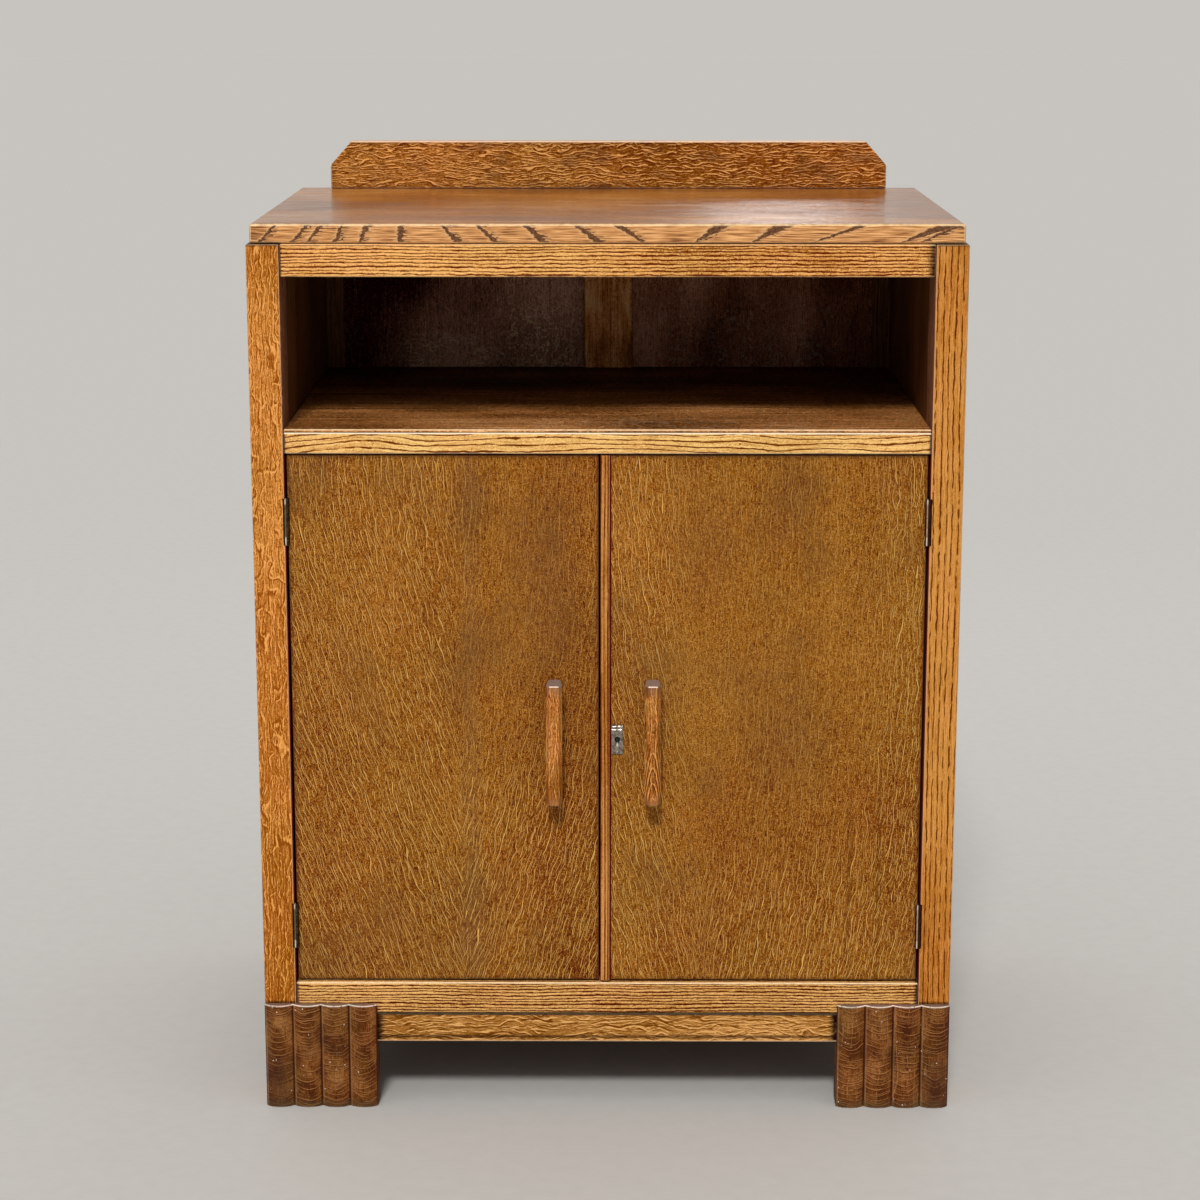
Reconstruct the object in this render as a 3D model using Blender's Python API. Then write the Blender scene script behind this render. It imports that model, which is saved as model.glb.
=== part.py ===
# Oak tallboy cabinet: an open compartment over a two-door cupboard, on reeded front feet.
# Metres, +Z up, front towards -Y. The origin is on the floor, under the middle of the whole.
# A place is given as x, depth and z, where depth is measured back from the posts' front faces.

import math

import bmesh
import bpy

# Overall sizes
CARCASS_WIDTH = 0.762
CARCASS_DEPTH = 0.508
CARCASS_HEIGHT = 0.9632
FIT_GAP = 0.0003  # between faces that touch or slide together
ARRIS = 0.0012  # chamfer along worked edges
CRISP_ANGLE = math.radians(40)  # edges of round pieces that turn by more stay crisp

# Corner posts
FRONT_POST_WIDTH = 0.035
FRONT_POST_DEPTH = 0.067
REAR_POST_WIDTH = 0.056
REAR_POST_DEPTH = 0.030

# Front rails
RAIL_SETBACK = 0.001
TOP_RAIL_HEIGHT = 0.0345
SHELF_RAIL_TOP = 0.7628
SHELF_RAIL_HEIGHT = 0.023
BOTTOM_RAIL_TOP = 0.1438
BOTTOM_RAIL_HEIGHT = 0.0369
APRON_HEIGHT = 0.0333
APRON_SETBACK = 0.003
APRON_THICKNESS = 0.018

# Side frames
SIDE_RAIL_SETBACK = 0.002
SIDE_TOP_RAIL_HEIGHT = 0.045
SIDE_PANEL_THICKNESS = 0.010
SIDE_PANEL_FOOT = 0.005  # panel's lower edge above the side rail's lower edge

# Back frame
REAR_TOP_RAIL_HEIGHT = 0.060
REAR_BOTTOM_RAIL_TOP = 0.150
REAR_BOTTOM_RAIL_HEIGHT = 0.055
REAR_RAIL_SETBACK = 0.0005
MUNTIN_WIDTH = 0.060
BACK_PANEL_THICKNESS = 0.006
BACK_PANEL_INSET = 0.008  # panel's face behind the rear posts' front faces
GROOVE_DEPTH = 0.008

# Joints of the frame
TENON_LENGTH = 0.020
TENON_THICKNESS = 0.008
TENON_SHOULDER = 0.005
REAR_TENON_INSET = 0.009  # tenon's middle from the back face of a rear rail
JOIN_OVERLAP = 0.002  # how far a tenon is sunk into its own rail before they are made one

# Top board and gallery
TOP_END_INSET = 0.004  # the board stops short of the posts' outer faces
TOP_SETBACK = 0.003
TOP_THICKNESS = 0.021
TOP_ARRIS = 0.0022
GALLERY_LENGTH = 0.677
GALLERY_HEIGHT = 0.057
GALLERY_THICKNESS = 0.019
GALLERY_CLIP_WIDTH = 0.0255
GALLERY_CLIP_HEIGHT = 0.029

# Boards and bearers inside
BOARD_THICKNESS = 0.018
SHELF_RISE = 0.0035  # the compartment shelf's top over its rail
FLOOR_RISE = 0.005  # the floor's top over the bottom rail, which stops the doors
CUPBOARD_SHELF_TOP = 0.440
CUPBOARD_SHELF_THICKNESS = 0.016
CUPBOARD_SHELF_FRONT = 0.070
BEARER_SIZE = 0.018
BEARER_FRONT = 0.060
BEARER_REAR_SPACE = 0.015
STOP_STRIP_DEPTH = 0.016
STOP_STRIP_LAP = 0.012  # how far the strip hangs behind the doors' top edges

# Doors
DOOR_SETBACK = 0.005
DOOR_THICKNESS = 0.019
DOOR_HINGE_GAP = 0.0025
DOOR_END_GAP = 0.002
DOOR_MEETING_GAP = 0.0016
MEETING_X = -0.0083  # middle of the gap between the doors
BEAD_WIDTH = 0.012
BEAD_RISE = 0.0030
BEAD_EDGE = 0.0010
BEAD_STEPS = 8

# Handles
HANDLE_LENGTH = 0.1348
HANDLE_MIDDLE_Z = 0.4233
HANDLE_PROJECTION = 0.032
HANDLE_BACK_WIDTH = 0.014
HANDLE_WIDTH = 0.018
HANDLE_FACET_WIDTH = 0.0105
HANDLE_FACET_DEPTH = 0.008
HANDLE_LEFT_INSET = 0.0483  # from the left door's closing edge
HANDLE_RIGHT_INSET = 0.0450  # from the bead

# Butt hinges
HINGE_LENGTH = 0.0508
HINGE_TOP_SPACE = 0.0472  # from the door's top edge
HINGE_BOTTOM_SPACE = 0.0385
HINGE_AXIS_DEPTH = 0.0025
KNUCKLE_RADIUS = 0.003
KNUCKLE_COUNT = 5
KNUCKLE_SIDES = 16
LEAF_THICKNESS = 0.0016
LEAF_BACK_MARGIN = 0.0015
PIN_RADIUS = 0.0012
PIN_CLEARANCE = 0.0003
PIN_STANDS_OUT = 0.0006

# Lock
LOCK_PLATE_WIDTH = 0.0125
LOCK_PLATE_HEIGHT = 0.033
LOCK_PLATE_THICKNESS = 0.0012
LOCK_PLATE_SPACE = 0.0001  # between the bead and the plate
KEYHOLE_RADIUS = 0.0021
KEYHOLE_SLOT_WIDTH = 0.0022
KEYHOLE_SLOT_LENGTH = 0.0085
LOCK_CASE_WIDTH = 0.036
LOCK_CASE_HEIGHT = 0.054
LOCK_CASE_DEPTH = 0.012
LOCK_EDGE_WALL = 0.003  # wood left between the case and the door's edge
LOCK_BOLT_HEIGHT = 0.022
LOCK_BOLT_THICKNESS = 0.006
LOCK_BOLT_LENGTH = 0.024
LOCK_THROW = 0.008
STRIKE_HEIGHT = 0.038
STRIKE_WIDTH = 0.013
STRIKE_THICKNESS = 0.0014

# Bolt inside the left door
ROD_INSET = 0.022  # from the left door's closing edge
ROD_RADIUS = 0.0025
ROD_LENGTH = 0.068
ROD_THROW = 0.012
ROD_REST_SPACE = 0.0025  # rod's top below its keeper when drawn
ROD_STANDOFF = 0.0012  # between the rod and its plate
ROD_SIDES = 12
KNOB_RADIUS = 0.0022
KNOB_LENGTH = 0.007
BOLT_PLATE_WIDTH = 0.018
BOLT_PLATE_HEIGHT = 0.052
BOLT_PLATE_THICKNESS = 0.0014
STAPLE_WIDTH = 0.010
STAPLE_HEIGHT = 0.006
STAPLE_WALL = 0.0014
KEEPER_THICKNESS = 0.0012
KEEPER_WIDTH = 0.020

# Feet
FOOT_WIDTH = 0.125
FOOT_HEIGHT = 0.1195
REED_COUNT = 4
REED_CROWN = 0.010  # reeds' crowns in front of the posts
REED_SAG = 0.006
REED_STEPS = 8
FOOT_BLOCK_DEPTH = 0.025

# Places that follow from the sizes
HALF_WIDTH = CARCASS_WIDTH / 2
FRONT_Y = (HANDLE_PROJECTION - DOOR_SETBACK - CARCASS_DEPTH) / 2
POST_INNER = HALF_WIDTH - FRONT_POST_WIDTH
REAR_POST_INNER = HALF_WIDTH - REAR_POST_WIDTH
REAR_POST_FRONT = CARCASS_DEPTH - REAR_POST_DEPTH
PANEL_OUTER = POST_INNER + SIDE_PANEL_THICKNESS
BACK_PANEL_FRONT = REAR_POST_FRONT + BACK_PANEL_INSET
BACK_PANEL_REAR = BACK_PANEL_FRONT + BACK_PANEL_THICKNESS
DOOR_BACK = DOOR_SETBACK + DOOR_THICKNESS
TOP_RAIL_LOW = CARCASS_HEIGHT - TOP_RAIL_HEIGHT
SHELF_RAIL_LOW = SHELF_RAIL_TOP - SHELF_RAIL_HEIGHT
SHELF_TOP = SHELF_RAIL_TOP + SHELF_RISE
SHELF_LOW = SHELF_TOP - BOARD_THICKNESS
BOTTOM_RAIL_LOW = BOTTOM_RAIL_TOP - BOTTOM_RAIL_HEIGHT
APRON_TOP = BOTTOM_RAIL_LOW - FIT_GAP
APRON_LOW = APRON_TOP - APRON_HEIGHT
FLOOR_TOP = BOTTOM_RAIL_TOP + FLOOR_RISE
FLOOR_LOW = FLOOR_TOP - BOARD_THICKNESS
REAR_TOP_RAIL_LOW = CARCASS_HEIGHT - REAR_TOP_RAIL_HEIGHT
DOOR_TOP = SHELF_RAIL_LOW - DOOR_END_GAP
DOOR_LOW = BOTTOM_RAIL_TOP + DOOR_END_GAP
DOOR_OUTER = POST_INNER - DOOR_HINGE_GAP
LEFT_DOOR_EDGE = MEETING_X - DOOR_MEETING_GAP / 2
RIGHT_DOOR_EDGE = MEETING_X + DOOR_MEETING_GAP / 2
HINGE_AXIS_X = POST_INNER - DOOR_HINGE_GAP / 2
HINGE_ZS = {
    "upper": DOOR_TOP - HINGE_TOP_SPACE - HINGE_LENGTH / 2,
    "lower": DOOR_LOW + HINGE_BOTTOM_SPACE + HINGE_LENGTH / 2,
}
STOP_LOW = DOOR_TOP - STOP_STRIP_LAP
KEEPER_LOW = STOP_LOW - FIT_GAP - KEEPER_THICKNESS
SIDES = {"left": -1, "right": 1}

# Colours as linear red, green and blue, with roughness and metallic
FINISHES = {
    "post": ((0.44, 0.165, 0.036), 0.42, 0.0),
    "rail": ((0.52, 0.240, 0.062), 0.42, 0.0),
    "top": ((0.30, 0.120, 0.036), 0.34, 0.0),
    "door": ((0.27, 0.102, 0.021), 0.40, 0.0),
    "handle": ((0.30, 0.105, 0.026), 0.38, 0.0),
    "foot": ((0.13, 0.041, 0.012), 0.45, 0.0),
    "inside": ((0.060, 0.024, 0.011), 0.60, 0.0),
    "plain": ((0.20, 0.095, 0.040), 0.70, 0.0),
    "steel": ((0.32, 0.30, 0.26), 0.38, 1.0),
    "brass": ((0.40, 0.30, 0.14), 0.42, 1.0),
}


def clear_scene():
    for thing in list(bpy.data.objects):
        bpy.data.objects.remove(thing, do_unlink=True)


def finish_material(name, finish):
    colour, roughness, metallic = FINISHES[finish]
    material = bpy.data.materials.new(name + "_finish")
    material.use_nodes = True
    shader = material.node_tree.nodes["Principled BSDF"]
    shader.inputs["Base Color"].default_value = (*colour, 1.0)
    shader.inputs["Roughness"].default_value = roughness
    shader.inputs["Metallic"].default_value = metallic
    material.diffuse_color = (*colour, 1.0)
    return material


def new_object(name, shape, place, finish=None):
    """Puts a bmesh, whose middle is its own origin, into the scene at x, depth and z."""
    mesh = bpy.data.meshes.new(name)
    bmesh.ops.recalc_face_normals(shape, faces=shape.faces)
    shape.to_mesh(mesh)
    shape.free()
    thing = bpy.data.objects.new(name, mesh)
    x, depth, z = place
    thing.location = (x, FRONT_Y + depth, z)
    bpy.context.scene.collection.objects.link(thing)
    if finish:
        mesh.materials.append(finish_material(name, finish))
    return thing


def box_shape(size, chamfer=0.0):
    shape = bmesh.new()
    bmesh.ops.create_cube(shape, size=1.0)
    bmesh.ops.scale(shape, vec=size, verts=shape.verts)
    if chamfer:
        bmesh.ops.bevel(shape, geom=shape.edges[:], offset=chamfer, segments=1, affect="EDGES")
    return shape


def board(name, x, depth, z, finish=None, chamfer=ARRIS):
    """A squared board between two x, two depths and two heights."""
    size = [abs(high - low) for low, high in (x, depth, z)]
    middle = [(low + high) / 2 for low, high in (x, depth, z)]
    return new_object(name, box_shape(size, chamfer if finish else 0.0), middle, finish)


def prism(name, outline, z, finish=None, chamfer=0.0):
    """An upright piece whose plan is a list of x and depth points."""
    low, high = z
    middle = [sum(point[axis] for point in outline) / len(outline) for axis in (0, 1)]
    shape = bmesh.new()
    half = (high - low) / 2
    ring = [shape.verts.new((x - middle[0], depth - middle[1], -half)) for x, depth in outline]
    foot = shape.faces.new(ring)
    raised = bmesh.ops.extrude_face_region(shape, geom=[foot])
    top = [vert for vert in raised["geom"] if isinstance(vert, bmesh.types.BMVert)]
    bmesh.ops.translate(shape, vec=(0, 0, 2 * half), verts=top)
    if chamfer:
        ends = [edge for edge in shape.edges if edge.verts[0].co.z == edge.verts[1].co.z]
        bmesh.ops.bevel(shape, geom=ends, offset=chamfer, segments=1, affect="EDGES")
    return new_object(name, shape, (*middle, (low + high) / 2), finish)


def rod(name, radius, length, place, along="z", finish=None, sides=ROD_SIDES):
    shape = bmesh.new()
    bmesh.ops.create_cone(
        shape, cap_ends=True, segments=sides, radius1=radius, radius2=radius, depth=length
    )
    thing = new_object(name, shape, place, finish)
    thing.rotation_euler = {"depth": (math.pi / 2, 0, 0), "z": (0, 0, 0)}[along]
    smooth(thing)
    return thing


def smooth(thing):
    thing.data.shade_smooth()
    thing.data.set_sharp_from_angle(angle=CRISP_ANGLE)


def shape_with(thing, tool, operation):
    """Joins a tool to a piece or cuts it out, keeps the result as the piece's mesh and drops the tool."""
    change = thing.modifiers.new(operation.lower(), "BOOLEAN")
    change.operation = operation
    change.solver = "EXACT"
    change.object = tool
    bpy.context.view_layer.update()
    shown = thing.evaluated_get(bpy.context.evaluated_depsgraph_get())
    shaped = bpy.data.meshes.new_from_object(shown)
    thing.modifiers.clear()
    before = thing.data
    thing.data = shaped
    bpy.data.meshes.remove(before)
    bpy.data.objects.remove(tool, do_unlink=True)


def cut(thing, x, depth, z):
    shape_with(thing, board("cutter", x, depth, z), "DIFFERENCE")


def join(thing, x, depth, z):
    shape_with(thing, board("addition", x, depth, z), "UNION")


def widened(span, by=FIT_GAP):
    low, high = sorted(span)
    return (low - by, high + by)


def mirrored(span, side):
    return tuple(sorted(side * value for value in span))


def frame_tenon(rail, posts, x, depth, z, sink):
    """Joins a tenon to a rail and cuts its mortise in each post. sink names the side sunk into the rail."""
    spans = {"x": sorted(x), "depth": sorted(depth), "z": sorted(z)}
    for post in posts:
        cut(post, widened(spans["x"]), widened(spans["depth"]), widened(spans["z"]))
    axis, end = sink
    spans[axis][end] += JOIN_OVERLAP if end else -JOIN_OVERLAP
    join(rail, spans["x"], spans["depth"], spans["z"])


def tenon_z(low, high):
    return (low + TENON_SHOULDER, high - TENON_SHOULDER)


def make_posts():
    posts = {}
    for word, side in SIDES.items():
        posts["front_" + word] = board(
            "front_post_" + word,
            mirrored((POST_INNER, HALF_WIDTH), side),
            (0, FRONT_POST_DEPTH),
            (0, CARCASS_HEIGHT),
            "post",
        )
        posts["rear_" + word] = board(
            "rear_post_" + word,
            mirrored((REAR_POST_INNER, HALF_WIDTH), side),
            (REAR_POST_FRONT, CARCASS_DEPTH),
            (0, CARCASS_HEIGHT),
            "post",
        )
    return posts


def cross_rail(name, posts, shoulder, depth, z, tenon_middle, finish):
    """A rail from side to side, tenoned into a pair of posts."""
    rail = board(name, (FIT_GAP - shoulder, shoulder - FIT_GAP), depth, z, finish)
    thickness = (tenon_middle - TENON_THICKNESS / 2, tenon_middle + TENON_THICKNESS / 2)
    for word, side in SIDES.items():
        reach = mirrored((shoulder - FIT_GAP, shoulder + TENON_LENGTH), side)
        sink = ("x", 1) if side < 0 else ("x", 0)
        frame_tenon(rail, [posts[word]], reach, thickness, tenon_z(*z), sink)
    return rail


def make_front_rails(posts):
    front = {word: posts["front_" + word] for word in SIDES}
    depth = (RAIL_SETBACK, DOOR_BACK)
    middle = sum(depth) / 2
    rows = {
        "top_rail": (TOP_RAIL_LOW, CARCASS_HEIGHT),
        "shelf_rail": (SHELF_RAIL_LOW, SHELF_RAIL_TOP),
        "bottom_rail": (BOTTOM_RAIL_LOW, BOTTOM_RAIL_TOP),
    }
    for name, z in rows.items():
        cross_rail(name, front, POST_INNER, depth, z, middle, "rail")
    apron_depth = (APRON_SETBACK, APRON_SETBACK + APRON_THICKNESS)
    cross_rail("apron_rail", front, POST_INNER, apron_depth, (APRON_LOW, APRON_TOP), middle, "rail")


def make_side_frames(posts):
    rail_x = (PANEL_OUTER + FIT_GAP, HALF_WIDTH - SIDE_RAIL_SETBACK)
    tenon_x = (sum(rail_x) / 2 - TENON_THICKNESS / 2, sum(rail_x) / 2 + TENON_THICKNESS / 2)
    shoulders = (FRONT_POST_DEPTH + FIT_GAP, REAR_POST_FRONT - FIT_GAP)
    panel_z = (APRON_LOW + SIDE_PANEL_FOOT, CARCASS_HEIGHT - FIT_GAP)
    panel_depth = (FRONT_POST_DEPTH - GROOVE_DEPTH, REAR_POST_FRONT + GROOVE_DEPTH)
    rows = {
        "side_top_rail_": (CARCASS_HEIGHT - SIDE_TOP_RAIL_HEIGHT, CARCASS_HEIGHT),
        "side_bottom_rail_": (APRON_LOW, BOTTOM_RAIL_TOP),
    }
    for word, side in SIDES.items():
        front, rear = posts["front_" + word], posts["rear_" + word]
        for name, z in rows.items():
            rail = board(name + word, mirrored(rail_x, side), shoulders, z, "post")
            ends = (
                (front, (FRONT_POST_DEPTH - TENON_LENGTH, shoulders[0]), ("depth", 1)),
                (rear, (shoulders[1], REAR_POST_FRONT + TENON_LENGTH), ("depth", 0)),
            )
            for post, depth, sink in ends:
                frame_tenon(rail, [post], mirrored(tenon_x, side), depth, tenon_z(*z), sink)
        panel_x = (POST_INNER, PANEL_OUTER)
        board("side_panel_" + word, mirrored(panel_x, side), panel_depth, panel_z, "inside", 0.0)
        rebate_x = mirrored((POST_INNER - JOIN_OVERLAP, PANEL_OUTER + FIT_GAP), side)
        rebate_depth = (panel_depth[0] - FIT_GAP, FRONT_POST_DEPTH + JOIN_OVERLAP)
        cut(front, rebate_x, rebate_depth, (panel_z[0] - FIT_GAP, CARCASS_HEIGHT + JOIN_OVERLAP))
        groove_depth = (REAR_POST_FRONT - JOIN_OVERLAP, panel_depth[1] + FIT_GAP)
        groove_z = (panel_z[0] - FIT_GAP, CARCASS_HEIGHT + JOIN_OVERLAP)
        cut(rear, mirrored(widened(panel_x), side), groove_depth, groove_z)


def make_back_frame(posts):
    rear = {word: posts["rear_" + word] for word in SIDES}
    rail_depth = (REAR_POST_FRONT + REAR_RAIL_SETBACK, CARCASS_DEPTH - REAR_RAIL_SETBACK)
    middle = rail_depth[1] - REAR_TENON_INSET
    high_rail = cross_rail(
        "rear_top_rail", rear, REAR_POST_INNER, rail_depth,
        (REAR_TOP_RAIL_LOW, CARCASS_HEIGHT), middle, "plain",
    )
    low_rail = cross_rail(
        "rear_bottom_rail", rear, REAR_POST_INNER, rail_depth,
        (REAR_BOTTOM_RAIL_TOP - REAR_BOTTOM_RAIL_HEIGHT, REAR_BOTTOM_RAIL_TOP), middle, "plain",
    )
    muntin_z = (REAR_BOTTOM_RAIL_TOP + FIT_GAP, REAR_TOP_RAIL_LOW - FIT_GAP)
    half_muntin = MUNTIN_WIDTH / 2
    muntin = board("back_muntin", (-half_muntin, half_muntin), rail_depth, muntin_z, "inside")

    panel_z = (REAR_BOTTOM_RAIL_TOP - GROOVE_DEPTH, REAR_TOP_RAIL_LOW + GROOVE_DEPTH)
    panel_x = (half_muntin - GROOVE_DEPTH, REAR_POST_INNER + GROOVE_DEPTH)
    panel_depth = (BACK_PANEL_FRONT, BACK_PANEL_REAR)
    groove = widened(panel_depth)
    past_ends = (-REAR_POST_INNER, REAR_POST_INNER)
    cut(high_rail, past_ends, groove, (REAR_TOP_RAIL_LOW - JOIN_OVERLAP, panel_z[1] + FIT_GAP))
    cut(low_rail, past_ends, groove, (panel_z[0] - FIT_GAP, REAR_BOTTOM_RAIL_TOP + JOIN_OVERLAP))
    tongue_x = (GROOVE_DEPTH - half_muntin, half_muntin - GROOVE_DEPTH)
    tongue_width = widened(tongue_x, -JOIN_OVERLAP)
    join(muntin, tongue_width, panel_depth, (muntin_z[1] - JOIN_OVERLAP, panel_z[1]))
    join(muntin, tongue_width, panel_depth, (panel_z[0], muntin_z[0] + JOIN_OVERLAP))
    for word, side in SIDES.items():
        board("back_panel_" + word, mirrored(panel_x, side), panel_depth, panel_z, "inside", 0.0)
        edge_x = mirrored((panel_x[0] - FIT_GAP, half_muntin + JOIN_OVERLAP), side)
        cut(muntin, edge_x, groove, widened(muntin_z, JOIN_OVERLAP))
        stile_x = mirrored((REAR_POST_INNER - JOIN_OVERLAP, panel_x[1] + FIT_GAP), side)
        cut(rear[word], stile_x, groove, widened(panel_z))


def make_top():
    half_top = HALF_WIDTH - TOP_END_INSET
    low = CARCASS_HEIGHT + FIT_GAP
    top = low + TOP_THICKNESS
    board(
        "top_board", (-half_top, half_top), (TOP_SETBACK, CARCASS_DEPTH), (low, top), "top", TOP_ARRIS
    )
    foot = top + FIT_GAP
    shape = bmesh.new()
    half = GALLERY_LENGTH / 2
    outline = [
        (-half, 0),
        (half, 0),
        (half, GALLERY_HEIGHT - GALLERY_CLIP_HEIGHT),
        (half - GALLERY_CLIP_WIDTH, GALLERY_HEIGHT),
        (GALLERY_CLIP_WIDTH - half, GALLERY_HEIGHT),
        (-half, GALLERY_HEIGHT - GALLERY_CLIP_HEIGHT),
    ]
    front = [shape.verts.new((x, -GALLERY_THICKNESS / 2, z)) for x, z in outline]
    face = shape.faces.new(front)
    raised = bmesh.ops.extrude_face_region(shape, geom=[face])
    back = [vert for vert in raised["geom"] if isinstance(vert, bmesh.types.BMVert)]
    bmesh.ops.translate(shape, vec=(0, GALLERY_THICKNESS, 0), verts=back)
    bmesh.ops.bevel(shape, geom=shape.edges[:], offset=ARRIS, segments=1, affect="EDGES")
    new_object("gallery_board", shape, (0, CARCASS_DEPTH - GALLERY_THICKNESS / 2, foot), "top")


def make_boards():
    half_inside = POST_INNER - FIT_GAP
    inside = (-half_inside, half_inside)
    shelf = board(
        "compartment_shelf", inside, (RAIL_SETBACK, BACK_PANEL_FRONT - FIT_GAP),
        (SHELF_LOW, SHELF_TOP), "inside",
    )
    rail_space = widened((-POST_INNER, POST_INNER), JOIN_OVERLAP)
    cut(
        shelf, rail_space, (-JOIN_OVERLAP, DOOR_BACK + FIT_GAP),
        (SHELF_LOW - JOIN_OVERLAP, SHELF_RAIL_TOP + FIT_GAP),
    )
    notch_depth = (REAR_POST_FRONT - FIT_GAP, BACK_PANEL_REAR)
    notch_z = widened((SHELF_LOW, SHELF_TOP), JOIN_OVERLAP)
    cut(shelf, widened((-MUNTIN_WIDTH / 2, MUNTIN_WIDTH / 2)), notch_depth, notch_z)
    for side in SIDES.values():
        cut(shelf, mirrored((REAR_POST_INNER - FIT_GAP, HALF_WIDTH), side), notch_depth, notch_z)

    rear = REAR_POST_FRONT - FIT_GAP
    board("cupboard_floor", inside, (DOOR_BACK + FIT_GAP, rear), (FLOOR_LOW, FLOOR_TOP), "inside")
    shelf_low = CUPBOARD_SHELF_TOP - CUPBOARD_SHELF_THICKNESS
    board("cupboard_shelf", inside, (CUPBOARD_SHELF_FRONT, rear), (shelf_low, CUPBOARD_SHELF_TOP), "inside")

    bearer_x = (half_inside - BEARER_SIZE, half_inside)
    bearer_depth = (BEARER_FRONT, REAR_POST_FRONT - BEARER_REAR_SPACE)
    carried = {
        "compartment_bearer_": SHELF_LOW,
        "cupboard_shelf_bearer_": shelf_low,
        "floor_bearer_": FLOOR_LOW,
    }
    for word, side in SIDES.items():
        for name, carried_low in carried.items():
            z = (carried_low - FIT_GAP - BEARER_SIZE, carried_low - FIT_GAP)
            board(name + word, mirrored(bearer_x, side), bearer_depth, z, "plain")
    stop_depth = (DOOR_BACK + FIT_GAP, DOOR_BACK + FIT_GAP + STOP_STRIP_DEPTH)
    return board("door_stop_strip", inside, stop_depth, (STOP_LOW, SHELF_LOW - FIT_GAP), "plain")


def arc_points(start, width, rise, steps):
    """Points over one shallow arc, from start to start + width, with its height over the chord."""
    radius = (width**2 / 4 + rise**2) / (2 * rise)
    half_angle = math.asin(width / 2 / radius)
    points = []
    for step in range(steps + 1):
        angle = half_angle * (2 * step / steps - 1)
        along = start + width / 2 + radius * math.sin(angle)
        points.append((along, radius * math.cos(angle) - (radius - rise)))
    return points


def make_feet():
    reed_width = FOOT_WIDTH / REED_COUNT
    block_top = APRON_LOW - FIT_GAP
    for word, side in SIDES.items():
        outline = [(HALF_WIDTH, -FIT_GAP)]
        for reed in range(REED_COUNT):
            start = HALF_WIDTH - (reed + 1) * reed_width
            arc = arc_points(start, reed_width, REED_SAG, REED_STEPS)
            cusp = REED_CROWN - REED_SAG
            row = [(x, -cusp - height) for x, height in reversed(arc)]
            outline += row if reed == 0 else row[1:]
        outline.append((HALF_WIDTH - FOOT_WIDTH, -FIT_GAP))
        facing = [(side * x, depth) for x, depth in outline]
        foot = prism("reeded_foot_" + word, facing, (0, FOOT_HEIGHT), "foot")
        smooth(foot)
        block_x = mirrored((HALF_WIDTH - FOOT_WIDTH, POST_INNER - FIT_GAP), side)
        board("foot_block_" + word, block_x, (0, FOOT_BLOCK_DEPTH), (0, block_top), "plain")


def hinge_leaf(name, axis_x, wing, middle_z, knuckles):
    """One leaf with its own knuckles. wing is the way along x, from the pin, that the leaf is seated."""
    outer = wing * KNUCKLE_RADIUS
    inner_reach = KNUCKLE_RADIUS - LEAF_THICKNESS
    plate_front = HINGE_AXIS_DEPTH + KNUCKLE_RADIUS + FIT_GAP
    low = middle_z - HINGE_LENGTH / 2
    plate_x = sorted((axis_x + outer, axis_x + wing * inner_reach))
    leaf_depth = (plate_front, DOOR_BACK - LEAF_BACK_MARGIN)
    leaf = board(name, plate_x, leaf_depth, (low, low + HINGE_LENGTH), "steel", 0.0)
    pitch = HINGE_LENGTH / KNUCKLE_COUNT
    tail = plate_front + LEAF_THICKNESS - HINGE_AXIS_DEPTH
    meet = math.acos(inner_reach / KNUCKLE_RADIUS)  # where the strap's inner face meets the barrel
    outline = [(KNUCKLE_RADIUS, tail), (inner_reach, tail)]
    for step in range(KNUCKLE_SIDES + 1):
        angle = meet + (2 * math.pi - meet) * step / KNUCKLE_SIDES
        outline.append((KNUCKLE_RADIUS * math.cos(angle), KNUCKLE_RADIUS * math.sin(angle)))
    placed = [(axis_x + wing * x, HINGE_AXIS_DEPTH + depth) for x, depth in outline]
    for knuckle in knuckles:
        z = (low + knuckle * pitch + FIT_GAP / 2, low + (knuckle + 1) * pitch - FIT_GAP / 2)
        shape_with(leaf, prism("knuckle", placed, z), "UNION")
    bore = PIN_RADIUS + PIN_CLEARANCE
    place = (axis_x, HINGE_AXIS_DEPTH, middle_z)
    shape_with(leaf, rod("bore", bore, 2 * HINGE_LENGTH, place, sides=KNUCKLE_SIDES), "DIFFERENCE")
    return leaf


def make_hinges(posts, doors):
    carried = {word: [] for word in SIDES}
    leaf_rear = DOOR_BACK - LEAF_BACK_MARGIN + FIT_GAP
    recess = KNUCKLE_RADIUS + FIT_GAP
    for word, side in SIDES.items():
        axis_x = side * HINGE_AXIS_X
        for level, middle_z in HINGE_ZS.items():
            z = widened((middle_z - HINGE_LENGTH / 2, middle_z + HINGE_LENGTH / 2))
            recess_depth = (-JOIN_OVERLAP, leaf_rear)
            cut(posts["front_" + word], sorted((axis_x, axis_x + side * recess)), recess_depth, z)
            cut(doors[word], sorted((axis_x, axis_x - side * recess)), recess_depth, z)
            tail = level + "_" + word
            own = range(0, KNUCKLE_COUNT, 2)
            others = range(1, KNUCKLE_COUNT, 2)
            hinge_leaf("hinge_frame_leaf_" + tail, axis_x, side, middle_z, own)
            leaf = hinge_leaf("hinge_door_leaf_" + tail, axis_x, -side, middle_z, others)
            carried[word].append(leaf)
            pin_length = HINGE_LENGTH + 2 * PIN_STANDS_OUT
            place = (axis_x, HINGE_AXIS_DEPTH, middle_z)
            rod("hinge_pin_" + tail, PIN_RADIUS, pin_length, place, "z", "steel")
    return carried


def make_doors():
    depth = (DOOR_SETBACK, DOOR_BACK)
    z = (DOOR_LOW, DOOR_TOP)
    return {
        "left": board("door_left", (-DOOR_OUTER, LEFT_DOOR_EDGE), depth, z, "door"),
        "right": board("door_right", (RIGHT_DOOR_EDGE, DOOR_OUTER), depth, z, "door"),
    }


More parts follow.
